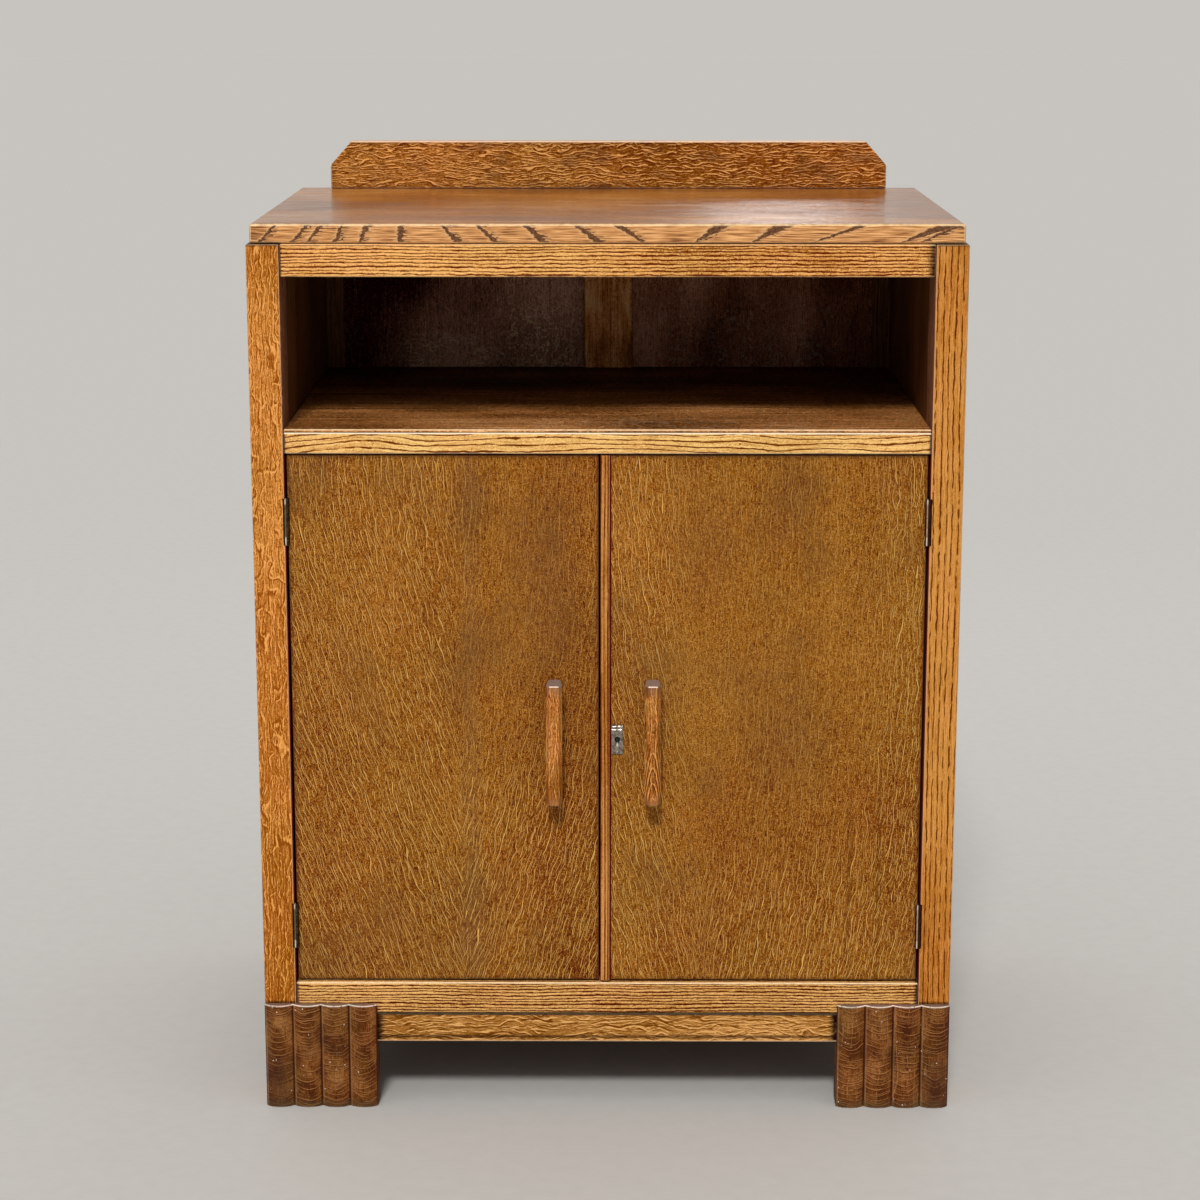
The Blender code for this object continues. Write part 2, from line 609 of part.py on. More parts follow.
def make_bead():
    back = DOOR_SETBACK - FIT_GAP
    arc = arc_points(RIGHT_DOOR_EDGE, BEAD_WIDTH, BEAD_RISE - BEAD_EDGE, BEAD_STEPS)
    outline = [(RIGHT_DOOR_EDGE, back)]
    outline += [(x, back - BEAD_EDGE - height) for x, height in arc]
    outline.append((RIGHT_DOOR_EDGE + BEAD_WIDTH, back))
    bead = prism("cover_bead", outline, (DOOR_LOW, DOOR_TOP), "rail")
    smooth(bead)
    return bead


def make_handle(name, middle_x):
    back = DOOR_SETBACK - FIT_GAP
    front = DOOR_SETBACK - HANDLE_PROJECTION
    half = [
        (HANDLE_BACK_WIDTH / 2, back),
        (HANDLE_WIDTH / 2, front + HANDLE_FACET_DEPTH),
        (HANDLE_FACET_WIDTH / 2, front),
    ]
    outline = [(middle_x + x, depth) for x, depth in half]
    outline += [(middle_x - x, depth) for x, depth in reversed(half)]
    z = (HANDLE_MIDDLE_Z - HANDLE_LENGTH / 2, HANDLE_MIDDLE_Z + HANDLE_LENGTH / 2)
    return prism(name, outline, z, "handle", ARRIS)


def cut_keyhole(thing, x, depth, slot_foot):
    middle_depth = sum(depth) / 2
    place = (x, middle_depth, HANDLE_MIDDLE_Z)
    hole = rod("keyhole", KEYHOLE_RADIUS, depth[1] - depth[0], place, "depth", sides=KNUCKLE_SIDES)
    shape_with(thing, hole, "DIFFERENCE")
    half_slot = KEYHOLE_SLOT_WIDTH / 2
    cut(thing, (x - half_slot, x + half_slot), depth, (slot_foot, HANDLE_MIDDLE_Z))


def make_lock(doors):
    z = HANDLE_MIDDLE_Z
    plate_x = RIGHT_DOOR_EDGE + BEAD_WIDTH + LOCK_PLATE_SPACE + FIT_GAP
    key_x = plate_x + LOCK_PLATE_WIDTH / 2
    face = DOOR_SETBACK - FIT_GAP
    half_plate = LOCK_PLATE_HEIGHT / 2
    plate = board(
        "lock_plate", (plate_x, plate_x + LOCK_PLATE_WIDTH), (face - LOCK_PLATE_THICKNESS, face),
        (z - half_plate, z + half_plate), "steel", 0.0,
    )
    slot_foot = z - KEYHOLE_SLOT_LENGTH
    cut_keyhole(plate, key_x, (face - 2 * LOCK_PLATE_THICKNESS, DOOR_SETBACK), slot_foot)

    case_x = (RIGHT_DOOR_EDGE + LOCK_EDGE_WALL, RIGHT_DOOR_EDGE + LOCK_EDGE_WALL + LOCK_CASE_WIDTH)
    case_depth = (DOOR_BACK - LOCK_CASE_DEPTH, DOOR_BACK)
    case_z = (z - LOCK_CASE_HEIGHT / 2, z + LOCK_CASE_HEIGHT / 2)
    case = board("lock_case", case_x, case_depth, case_z, "brass", 0.0)
    cut_keyhole(doors["right"], key_x, (0, case_depth[0]), slot_foot)
    pocket_depth = (case_depth[0] - FIT_GAP, DOOR_BACK + JOIN_OVERLAP)
    cut(doors["right"], widened(case_x), pocket_depth, widened(case_z))

    bolt_middle = sum(case_depth) / 2
    bolt_depth = (bolt_middle - LOCK_BOLT_THICKNESS / 2, bolt_middle + LOCK_BOLT_THICKNESS / 2)
    bolt_z = (z - LOCK_BOLT_HEIGHT / 2, z + LOCK_BOLT_HEIGHT / 2)
    bolt_x = (RIGHT_DOOR_EDGE + FIT_GAP, RIGHT_DOOR_EDGE + FIT_GAP + LOCK_BOLT_LENGTH)
    bolt = board("lock_bolt", bolt_x, bolt_depth, bolt_z, "brass", 0.0)
    channel = (RIGHT_DOOR_EDGE - JOIN_OVERLAP, bolt_x[1] + FIT_GAP)
    for thing in (case, doors["right"]):
        cut(thing, channel, widened(bolt_depth), widened(bolt_z))

    strike_depth = (bolt_middle - STRIKE_WIDTH / 2, bolt_middle + STRIKE_WIDTH / 2)
    strike_x = (LEFT_DOOR_EDGE - STRIKE_THICKNESS, LEFT_DOOR_EDGE)
    strike_z = (z - STRIKE_HEIGHT / 2, z + STRIKE_HEIGHT / 2)
    strike = board("strike_plate", strike_x, strike_depth, strike_z, "brass", 0.0)
    seat_x = (strike_x[0] - FIT_GAP, LEFT_DOOR_EDGE + JOIN_OVERLAP)
    cut(doors["left"], seat_x, widened(strike_depth), widened(strike_z))
    thrown = bolt_x[0] - LOCK_THROW
    mortise_x = (thrown - FIT_GAP, LEFT_DOOR_EDGE + JOIN_OVERLAP)
    for thing in (strike, doors["left"]):
        cut(thing, mortise_x, widened(bolt_depth), widened(bolt_z))
    return plate, case, bolt, strike


def make_door_bolt(stop_strip):
    """The small bolt on the inside of the left door: plate with two staples, sliding rod, and keeper."""
    x = LEFT_DOOR_EDGE - ROD_INSET
    plate_depth = (DOOR_BACK + FIT_GAP, DOOR_BACK + FIT_GAP + BOLT_PLATE_THICKNESS)
    rod_depth = plate_depth[1] + ROD_STANDOFF + ROD_RADIUS
    rod_top = KEEPER_LOW - ROD_REST_SPACE
    plate_top = rod_top - STAPLE_HEIGHT / 2
    half_plate = BOLT_PLATE_WIDTH / 2
    plate_z = (plate_top - BOLT_PLATE_HEIGHT, plate_top)
    plate = board("bolt_plate", (x - half_plate, x + half_plate), plate_depth, plate_z, "brass", 0.0)
    staple_depth = (plate_depth[0], rod_depth + ROD_RADIUS + PIN_CLEARANCE + STAPLE_WALL)
    half_staple = STAPLE_WIDTH / 2
    space = STAPLE_HEIGHT / 2
    for low in (plate_z[0] + space, plate_z[1] - space - STAPLE_HEIGHT):
        join(plate, (x - half_staple, x + half_staple), staple_depth, (low, low + STAPLE_HEIGHT))
    bore = ROD_RADIUS + PIN_CLEARANCE
    plate_middle = (x, rod_depth, sum(plate_z) / 2)
    passage = rod("bore", bore, 2 * BOLT_PLATE_HEIGHT, plate_middle, sides=KNUCKLE_SIDES)
    shape_with(plate, passage, "DIFFERENCE")

    slide = rod(
        "door_bolt", ROD_RADIUS, ROD_LENGTH, (x, rod_depth, rod_top - ROD_LENGTH / 2), "z", "brass"
    )
    knob_depth = rod_depth + (ROD_RADIUS + KNOB_LENGTH) / 2
    knob_z = sum(plate_z) / 2 - ROD_THROW / 2
    knob = rod("knob", KNOB_RADIUS, ROD_RADIUS + KNOB_LENGTH, (x, knob_depth, knob_z), "depth")
    shape_with(slide, knob, "UNION")

    half_keeper = KEEPER_WIDTH / 2
    keeper_depth = (DOOR_BACK + FIT_GAP, DOOR_BACK + FIT_GAP + STOP_STRIP_DEPTH)
    keeper_z = (KEEPER_LOW, KEEPER_LOW + KEEPER_THICKNESS)
    keeper = board("bolt_keeper", (x - half_keeper, x + half_keeper), keeper_depth, keeper_z, "brass", 0.0)
    hole_top = rod_top + ROD_THROW + FIT_GAP
    hole_low = KEEPER_LOW - JOIN_OVERLAP
    for thing in (keeper, stop_strip):
        place = (x, rod_depth, (hole_low + hole_top) / 2)
        hole = rod("hole", bore, hole_top - hole_low, place, sides=KNUCKLE_SIDES)
        shape_with(thing, hole, "DIFFERENCE")
    return plate, slide


def carry(name, place, pieces):
    """Hangs pieces on an empty, which stands on the axis that they turn about or slide from."""
    x, depth, z = place
    axis = bpy.data.objects.new(name, None)
    axis.location = (x, FRONT_Y + depth, z)
    bpy.context.scene.collection.objects.link(axis)
    for piece in pieces:
        piece.parent = axis
        piece.location = piece.location - axis.location
    return axis


def make_cabinet():
    clear_scene()
    posts = make_posts()
    make_front_rails(posts)
    make_side_frames(posts)
    make_back_frame(posts)
    make_top()
    stop_strip = make_boards()
    make_feet()
    doors = make_doors()
    leaves = make_hinges(posts, doors)
    bead = make_bead()
    left_handle = make_handle("handle_left", LEFT_DOOR_EDGE - HANDLE_LEFT_INSET)
    right_handle = make_handle("handle_right", RIGHT_DOOR_EDGE + BEAD_WIDTH + HANDLE_RIGHT_INSET)
    lock_plate, lock_case, lock_bolt, strike = make_lock(doors)
    bolt_plate, door_bolt = make_door_bolt(stop_strip)
    left_pieces = [doors["left"], left_handle, strike, bolt_plate, door_bolt, *leaves["left"]]
    right_pieces = [doors["right"], right_handle, bead, lock_plate, lock_case, lock_bolt, *leaves["right"]]
    carry("left_door_axis", (-HINGE_AXIS_X, HINGE_AXIS_DEPTH, DOOR_LOW), left_pieces)
    carry("right_door_axis", (HINGE_AXIS_X, HINGE_AXIS_DEPTH, DOOR_LOW), right_pieces)


make_cabinet()
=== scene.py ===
import math

import bmesh
import bpy
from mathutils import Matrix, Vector


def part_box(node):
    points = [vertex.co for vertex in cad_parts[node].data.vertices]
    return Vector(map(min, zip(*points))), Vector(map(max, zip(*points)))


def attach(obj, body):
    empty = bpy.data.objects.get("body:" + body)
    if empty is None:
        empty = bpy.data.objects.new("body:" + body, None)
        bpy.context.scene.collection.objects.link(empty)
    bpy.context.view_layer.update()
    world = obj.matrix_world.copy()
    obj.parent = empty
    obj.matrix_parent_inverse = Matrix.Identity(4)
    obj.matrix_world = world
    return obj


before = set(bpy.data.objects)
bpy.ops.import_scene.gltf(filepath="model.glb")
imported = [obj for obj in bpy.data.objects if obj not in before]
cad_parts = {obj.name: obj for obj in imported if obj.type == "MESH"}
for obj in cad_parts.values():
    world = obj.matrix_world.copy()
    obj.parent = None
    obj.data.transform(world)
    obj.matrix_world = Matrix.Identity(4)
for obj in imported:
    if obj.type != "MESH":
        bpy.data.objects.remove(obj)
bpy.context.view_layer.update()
print("frame loaded:", len(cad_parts), "nodes")


def tint(red, green, blue):
    # a screen colour, 0 to 255, as the linear one that Blender mixes
    parts = []
    for value in (red, green, blue):
        share = value / 255
        parts.append(share / 12.92 if share < 0.04045 else ((share + 0.055) / 1.055) ** 2.4)
    return (*parts, 1.0)


polishLift = 0.007  # what the polish adds to every shade when it is lit
darkest = 0.0004  # the least that a part of a stain's colour can be
toneStops = (0.2, 0.37, 0.5, 0.63, 0.8)  # where a look's five shades stand between dark and light
faceSkin = (0.0004, 0.0012)  # how deep a colour that belongs to one face goes round its arris


def stained(shade):
    return (*(max(part - polishLift, darkest) for part in tint(*shade)[:3]), 1.0)


class Wire:
    # one output socket of a material's nodes, which can be written in sums

    def __init__(self, tree, socket=None):
        self.tree = tree
        self.socket = socket

    def node(self, kind, settings=None, sockets=None, output=0):
        made = self.tree.nodes.new("ShaderNode" + kind)
        for name, value in (settings or {}).items():
            if name == "stops":
                fillRamp(made.color_ramp, value)
            else:
                setattr(made, name, value)
        for name, value in (sockets or {}).items():
            if isinstance(value, Wire):
                self.tree.links.new(value.socket, made.inputs[name])
            else:
                made.inputs[name].default_value = value
        return Wire(self.tree, made.outputs[output])

    def maths(self, operation, *values):
        return self.node("Math", {"operation": operation}, dict(enumerate(values)))

    __add__ = __radd__ = lambda self, other: self.maths("ADD", self, other)
    __sub__ = lambda self, other: self.maths("SUBTRACT", self, other)
    __rsub__ = lambda self, other: self.maths("SUBTRACT", other, self)
    __mul__ = __rmul__ = lambda self, other: self.maths("MULTIPLY", self, other)
    __truediv__ = lambda self, other: self.maths("DIVIDE", self, other)
    __abs__ = lambda self: self.maths("ABSOLUTE", self)
    lower = lambda self, other: self.maths("MINIMUM", self, other)
    higher = lambda self, other: self.maths("MAXIMUM", self, other)
    fract = lambda self: self.maths("FRACT", self)

    def part(self, at):
        # x, y or z of a vector
        return self.node("SeparateXYZ", {}, {0: self}, output=at)

    def ease(self, low, high):
        # 0 below low, 1 above high, and soft between them
        sockets = {"Value": self, "From Min": low, "From Max": high}
        return self.node("MapRange", {"interpolation_type": "SMOOTHSTEP"}, sockets)

    def fade(self, low, high):
        # the other way round: 1 below low and 0 above high
        return 1 - self.ease(low, high)

    def towards(self, colour, mask, blend="MIX"):
        # three parts are a stain as it shows on a screen; four are what Blender mixes
        if isinstance(colour, tuple) and len(colour) == 3:
            colour = stained(colour)
        settings = {"data_type": "RGBA", "blend_type": blend}
        return self.node("Mix", settings, {0: mask, 6: self, 7: colour}, output=2)

    def between(self, start, end):
        # a number from 0 to 1 as a colour between two screen colours
        return self.node("ValToRGB", {"stops": [(0.0, tint(*start)), (1.0, tint(*end))]}, {0: self})

    def shaded(self, shades, punch=(1.0, 1.0), lit=1.0):
        # a number from 0 to 1 as one of five stain colours; punch sets the darks and the lights further
        # from the middle one, and lit is how brightly the place where the colours were read is lit
        middle = stained(shades[2])
        stops = []
        for at, shade in zip(toneStops, shades):
            more = punch[0] if at < 0.5 else punch[1]
            pairs = zip(stained(shade)[:3], middle)
            stops.append((at, (*(max((m + (part - m) * more) / lit, darkest) for part, m in pairs), 1.0)))
        return self.node("ValToRGB", {"stops": stops}, {0: self})


def fillRamp(ramp, stops):
    while len(ramp.elements) < len(stops):
        ramp.elements.new(1.0)
    for element, (position, colour) in zip(ramp.elements, stops):
        element.position = position
        element.color = colour


def startMaterial(name):
    material = bpy.data.materials.new(name)
    material.use_nodes = True
    shader = material.node_tree.nodes["Principled BSDF"]
    return material, shader, Wire(material.node_tree)


def plug(wire, shader, name):
    wire.tree.links.new(wire.socket, shader.inputs[name])


def grain(vector, sizes, shift=0.0, detail=1.0, roughness=0.5):
    # noise whose patches have these sizes in metres: across the grain, into the board, along the grain
    settings = {"operation": "MULTIPLY_ADD"}
    stretch = tuple(1 / size for size in sizes)
    moved = (shift, shift * 0.7, shift * 1.3)
    placed = vector.node("VectorMath", settings, {0: vector, 1: stretch, 2: moved})
    sockets = {"Vector": placed, "Scale": 1.0, "Detail": detail, "Roughness": roughness}
    return vector.node("TexNoise", {}, sockets)


def swing(vector, sizes, shift, reach, detail=1.0, roughness=0.5):
    # the same noise, but going either side of nothing
    return (grain(vector, sizes, shift, detail, roughness) - 0.5) * reach


def startWood(node, look, box=None, name=None):
    # look["axes"] names what runs across the grain, into the board and along the grain
    material, shader, wire = startMaterial(name or node + "_oak")
    place = wire.node("TexCoord", output=3)
    xyz = {axis: place.part(at) for at, axis in enumerate("xyz")}
    across, inward, along = (xyz[axis] for axis in look["axes"])
    seed = look["seed"]
    u = across + seed * 0.371
    w = inward + seed * 0.173
    v = along + seed * 0.917
    lows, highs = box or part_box(node)
    return {
        "material": material, "shader": shader, "wire": wire, "place": place, **xyz,
        "u": u, "w": w, "v": v, "grain": wire.node("CombineXYZ", {}, {0: u, 1: w, 2: v}),
        "lows": dict(zip("xyz", lows)), "highs": dict(zip("xyz", highs)),
    }


def leaned(wood, u, v=None):
    return u.node("CombineXYZ", {}, {0: u, 1: wood["w"], 2: v or wood["v"]})


def depthUnder(wood, axis, side):
    # how far a place is from the board's high face, with side 1, or from its low one, with side 0 or -1
    return wood["highs"][axis] - wood[axis] if side > 0 else wood[axis] - wood["lows"][axis]


def fromMiddleOf(wood, axis):
    return wood[axis] - (wood["lows"][axis] + wood["highs"][axis]) / 2


def edgeGaps(wood):
    return [depthUnder(wood, axis, 0).lower(depthUnder(wood, axis, 1)) for axis in "xyz"]


def arrisGap(wood):
    # on a face one of the three gaps is nothing, so the middle one is the way to the nearest arris
    a, b, c = edgeGaps(wood)
    return a.lower(b).higher(a.higher(b).lower(c))


def hairLines(wood, u, spacing, thickness, length, share, shift=0.0, v=None):
    # thin, nearly parallel lines along the grain, broken into strokes, each with a dark edge on its right
    # painted as its shadow
    u = u + wood["w"] * 0.8
    drift = swing(leaned(wood, u, v), (spacing * 3.5, 0.03, length * 2.5), shift, 2.2)
    beside = ((u / spacing + drift).fract() - 0.5) * spacing
    cut = 0.62 - share * 0.3
    kept = grain(leaned(wood, u, v), (spacing * 0.9, 0.03, length), shift + 3.0).ease(cut, cut + 0.08)
    light = abs(beside).fade(thickness * 0.3, thickness)
    dark = abs(beside + thickness * 1.5).fade(thickness * 0.3, thickness)
    return light * kept, dark * kept


def wormLines(wood, u, size, stretch):
    # short meandering lines, light and dark, close together
    worm = grain(leaned(wood, u), (size, size * 2, size * stretch), 23.0, 2.0)
    return abs(worm - 0.53).fade(0.006, 0.034) - abs(worm - 0.455).fade(0.006, 0.034)


def curlOf(wood, bend, depth, shift=4.4):
    return swing(wood["grain"], (bend, bend, bend * 1.6), shift, depth)


def oakTone(wood, look):
    # 0 dark to 1 light, from growth lines, pores, ray flecks, fine streaks and clouds
    body = wood["grain"]
    u = wood["u"] + swing(body, (0.05, 0.08, look["waveLength"]), 3.1, look["wander"])
    if look.get("ripple"):
        u = u + swing(body, (0.006, 0.03, 0.014), 6.6, look["ripple"], 2.0)
    tone = look["level"] + swing(body, look["cloudSize"], 7.7, look["cloud"], 2.0)
    tone = tone + swing(leaned(wood, u), (0.0011, 0.002, look["fineLength"]), 1.3, look["fine"], 2.0)
    if look.get("lineDepth"):
        ring = u + wood["w"] * look["tilt"]
        uneven = swing(leaned(wood, ring), (look["pitch"] * 3, 0.05, 0.6), 5.2, look["uneven"])
        phase = (ring / look["pitch"] + uneven).fract()
        line = phase.fade(0.0, look["early"]).higher(phase.ease(0.9, 1.0))
        broken = grain(leaned(wood, u), (look["pitch"], 0.01, look["dash"]), 2.9).ease(0.32, 0.56)
        if look.get("linesBelow"):
            line = line * wood["z"].fade(*look["linesBelow"])
        tone = tone - line * (look["solid"] + (1 - look["solid"]) * broken) * look["lineDepth"]
        pores = grain(leaned(wood, u), (0.0007, 0.0012, 0.009), 9.4).ease(0.56, 0.66)
        tone = tone - pores * (0.25 + 0.75 * line) * look["pore"]
    else:
        pores = grain(leaned(wood, u), (0.0008, 0.0014, 0.01), 9.4).ease(0.57, 0.66)
        tone = tone - pores * look["pore"]
    # ray flecks, each with a painted shadow on its right: spacing, width, length, share that shows, lift,
    # and how wide and deep their curls are
    for at, (*size, lift, bend, curl) in enumerate(look.get("flecks", [])):
        light, dark = hairLines(wood, u + curlOf(wood, bend, curl, 4.4 + at), *size, shift=11.0 + at)
        tone = tone + (light - dark * 0.7) * lift
    if look.get("squiggle"):
        curly = leaned(wood, u + curlOf(wood, 0.005, 0.004))
        tone = tone + swing(curly, (0.0015, 0.0025, 0.0032), 19.0, look["squiggle"], 2.0)
    if look.get("worm"):
        tone = tone + wormLines(wood, u, look["wormSize"], look["wormStretch"]) * look["worm"]
    # tone that changes along a board, mostly painted light and shade where the light falls off or a
    # corner lies in shade, and some dirt: axis, where it starts, where it is full, and by how much
    for axis, start, end, change in look.get("shadedAlong", []):
        tone = tone + wood[axis].ease(start, end) * change
    return tone


def frontArris(wood, axis, end, width):
    # a thin line where the front meets the low face of an axis, with end 0, or the high one, with end 1
    mask = 1.0
    for face, side in (("y", 0), (axis, end)):
        mask = depthUnder(wood, face, side).fade(width * 0.5, width * 1.2) * mask
    return mask


def finishWood(wood, look, tone, overlays=()):
    wire, body = wood["wire"], wood["grain"]
    colour = tone.shaded(look["shades"], look["punch"], look["lit"])
    roughness = look["roughness"] + swing(body, (0.03, 0.03, 0.05), 21.0, look["roughVaries"], 2.0)
    ragged = grain(wood["place"], (0.006, 0.006, 0.006), 14.0, 3.0)
    blotch = grain(wood["place"], (0.05, 0.05, 0.05), 17.0, 2.0)
    for shade, mask in overlays:
        colour = colour.towards(shade, mask)

    # the stain drifts from reddish to olive
    if look.get("hueDrift"):
        drift = grain(wood["place"], look["driftSize"], 27.0, 2.0).ease(0.34, 0.66)
        colour = colour.towards((1.06, 0.965, 0.9, 1.0), (1 - drift) * look["hueDrift"], "MULTIPLY")
        colour = colour.towards((0.97, 1.02, 0.9, 1.0), drift * look["hueDrift"], "MULTIPLY")

    # smoky patches in the old polish
    if look.get("greying"):
        patch = grain(wood["place"], look["greySize"], 29.0, 3.0).ease(0.5, 0.74) * look["greying"]
        colour = colour.towards(look["greyShade"], patch)

    # dirt at joints, and painted shade in the gaps and corners there: axis, place, reach and strength
    for axis, place, reach, strength in look.get("grime", []):
        near = abs(wood[axis] - place).fade(reach * 0.15, reach)
        colour = colour.towards(look["grimeShade"], near * (0.5 + ragged) * strength)
    # dirt along the rims of a face, and painted shade there beside the gaps
    if look.get("rimDirtAndShade"):
        gaps = [gap for axis, gap in zip("xyz", edgeGaps(wood)) if axis != look["thinAxis"]]
        rim = gaps[0].lower(gaps[1]).fade(look["rimReach"] * 0.1, look["rimReach"])
        colour = colour.towards(look["grimeShade"], rim * (0.3 + 1.2 * blotch) * look["rimDirtAndShade"])

    # arrises rubbed pale, and a few paler still, partly wear and partly painted highlight: axis, end,
    # width and strength
    worn = (arrisGap(wood) / look["wearWidth"]).fade(0.25, 0.5 + ragged) * look["wear"]
    for *arris, strength in look.get("rubbed", []):
        worn = worn.higher(frontArris(wood, *arris) * (0.35 + 1.1 * ragged) * strength)
    colour = colour.towards(look["wornShade"], worn)

    # faces where the polish stops: axis, side (1 for the high face, -1 for the low one) and shades
    for axis, side, shades in look.get("bareFaces", []):
        bare = depthUnder(wood, axis, side).fade(0.0003, 0.0009)
        sawn = swing(body, (0.0022, 0.004, 0.06), 43.0, 0.55, 3.0, 0.6)
        colour = colour.towards((0.5 + (tone - 0.5) * 0.35 + sawn).shaded(shades), bare)
        roughness = roughness + bare * 0.2

    # red stain on the edges beside the doors' gaps: side, as above, and how far back it reaches
    for side, depth in look.get("redEdges", []):
        gap = depthUnder(wood, "x", side)
        inFront = depthUnder(wood, "y", 0).fade(depth * 0.4, depth)
        red = gap.fade(0.0002, 0.0007) * inFront * wood["z"].fade(doorTop, doorTop + 0.004)
        colour = colour.towards(tint(*look["redShade"]), red * 0.85)

    # scuffs: hair-thin scratches in clusters, painted near white so that they also stand for glints of
    # light, and a pale haze between them:
    # size of the curls, strength, shade, and where, as axis, middle and reach
    for curls, strength, shade, where in look.get("scuffsAndGlints", []):
        hair = abs(grain(wood["place"], curls, 31.0 + strength, 2.5, 0.6) - 0.5).fade(0.007, 0.028)
        mask = (0.45 + blotch.ease(0.38, 0.6) * 0.55) * strength
        for axis, middle, reach in where:
            mask = mask * abs(wood[axis] - middle).fade(reach * 0.4, reach)
        colour = colour.towards(tint(*shade), hair * mask)
        colour = colour.towards(tint(*shade), mask * ragged * 0.14)

    # specks of old paint
    if look.get("specks"):
        dots = wire.node("TexVoronoi", {}, {"Vector": wood["place"], "Scale": look["speckScale"]})
        speck = dots.fade(0.05, 0.1)
        speck = speck * grain(wood["place"], (0.03, 0.03, 0.03), 41.0).ease(0.42, 0.62)
        colour = colour.towards(look["speckShade"], speck * look["specks"])

    shader = wood["shader"]
    plug(colour, shader, "Base Color")
    plug(roughness, shader, "Roughness")
    height = tone * 0.6 + ragged * 0.15 + grain(body, (0.0007, 0.0012, 0.012), 9.4) * 0.35
    bump = wire.node("Bump", {}, {"Strength": look["relief"], "Distance": 0.0006, "Height": height})
    plug(bump, shader, "Normal")
    shader.inputs["Specular IOR Level"].default_value = look["gloss"]
    return wood["material"]


smoothing = bpy.data.node_groups.new("smooth_faces", "GeometryNodeTree")


def fillSmoothing(tree, crispAngle):
    # smooth shading, with the edges that turn by more than crispAngle left crisp
    tree.interface.new_socket("Geometry", in_out="INPUT", socket_type="NodeSocketGeometry")
    tree.interface.new_socket("Geometry", in_out="OUTPUT", socket_type="NodeSocketGeometry")
    start = tree.nodes.new("NodeGroupInput")
    end = tree.nodes.new("NodeGroupOutput")
    turn = tree.nodes.new("GeometryNodeInputMeshEdgeAngle")
    isCrisp = tree.nodes.new("ShaderNodeMath")
    isCrisp.operation = "GREATER_THAN"
    isCrisp.inputs[1].default_value = math.radians(crispAngle)
    normals = tree.nodes.new("GeometryNodeSetMeshNormal")
    normals.inputs["Remove Custom"].default_value = True
    tree.links.new(turn.outputs[0], isCrisp.inputs[0])
    tree.links.new(start.outputs[0], normals.inputs["Mesh"])
    tree.links.new(isCrisp.outputs[0], normals.inputs["Edge Sharpness"])
    tree.links.new(normals.outputs[0], end.inputs[0])


fillSmoothing(smoothing, 40)
rounding = {"wood": 0.0004, "handle": 0.0012, "metal": 0.00015, "segments": 2, "angle": 28}


def soften(piece, width):
    # rounds the arrises a little, and smooths what is round
    weld = piece.modifiers.new("weld", "WELD")
    weld.merge_threshold = 0.00001
    flat = piece.modifiers.new("flat", "DECIMATE")
    flat.decimate_type = "DISSOLVE"
    flat.angle_limit = math.radians(0.5)
    bevel = piece.modifiers.new("bevel", "BEVEL")
    bevel.width = width
    bevel.segments = rounding["segments"]
    bevel.limit_method = "ANGLE"
    bevel.angle_limit = math.radians(rounding["angle"])
    piece.modifiers.new("smooth", "NODES").node_group = smoothing
    piece.modifiers.new("weighted", "WEIGHTED_NORMAL").keep_sharp = True


def dress(node, material, width=rounding["wood"]):
    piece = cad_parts[node]
    piece.data.materials.clear()
    piece.data.materials.append(material)
    soften(piece, width)


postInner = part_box("front_post_right")[0].x
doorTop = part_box("door_left")[1].z


def coverBoard(node, look, box=None, name=None):
    wood = startWood(node, look, box, name)
    dress(node, finishWood(wood, look, oakTone(wood, look)))


insideShades = [(44, 25, 13), (78, 47, 26), (112, 72, 42), (140, 96, 60), (172, 128, 88)]
plainShades = [(74, 48, 28), (112, 78, 48), (142, 104, 68), (168, 130, 92), (194, 160, 124)]
commonWear = dict(
    axes="xyz", wornShade=(236, 196, 150), grimeShade=(34, 17, 7), wearWidth=0.0014, wear=0.5, relief=0.3,
    roughness=0.42, roughVaries=0.16, gloss=0.07, punch=(1.1, 1.5), solid=0.35, speckScale=90.0,
    speckShade=(214, 205, 192), redShade=(136, 42, 26), wormSize=0.0024, wormStretch=1.9,
    driftSize=(0.1, 0.1, 0.16), greySize=(0.09, 0.09, 0.11), waveLength=0.3, wander=0.006, tilt=0.9,
    uneven=1.6, early=0.5, dash=0.02, cloud=0.6, cloudSize=(0.09, 0.09, 0.22), fine=0.55, fineLength=0.05,
    pore=0.3, level=0.5, lit=1.0,
)

# front rails: straight, closely ribbed growth lines
ribbed = dict(
    commonWear, axes="zyx", pitch=0.0036, wander=0.009, wormSize=0.0017, dash=0.016, punch=(1.1, 1.4),
    relief=0.2, hueDrift=0.5,
)
topRail = dict(
    ribbed, seed=1.0, lineDepth=0.9, level=0.75, uneven=1.5, ripple=0.003, worm=0.3, solid=0.4, lit=1.1,
    wornShade=(248, 214, 158),
    shades=[(120, 58, 2), (168, 98, 22), (200, 136, 60), (228, 164, 90), (250, 188, 114)],
    grime=[("x", -postInner, 0.003, 1.3), ("x", postInner, 0.012, 0.9)],
    rubbed=[("z", 0, 0.0013, 0.5), ("z", 1, 0.0014, 0.5)],
    shadedAlong=[("x", 0.0, 0.34, -0.1)],
)
shelfRail = dict(
    ribbed, seed=2.0, pitch=0.0056, lineDepth=1.15, level=0.64, wander=0.03, uneven=1.3, early=0.24,
    waveLength=0.16, ripple=0.0026, worm=0.22, wormSize=0.0018, solid=0.25, fine=0.8, punch=(1.0, 1.4),
    lit=1.04, wornShade=(255, 238, 206),
    shades=[(116, 56, 8), (188, 128, 52), (221, 164, 94), (238, 184, 110), (253, 208, 134)],
    grimeShade=(62, 14, 6), grime=[("x", -postInner, 0.0034, 1.2), ("x", postInner, 0.0034, 1.2)],
    rubbed=[("z", 1, 0.0018, 1.2), ("z", 0, 0.0014, 0.6)],
)
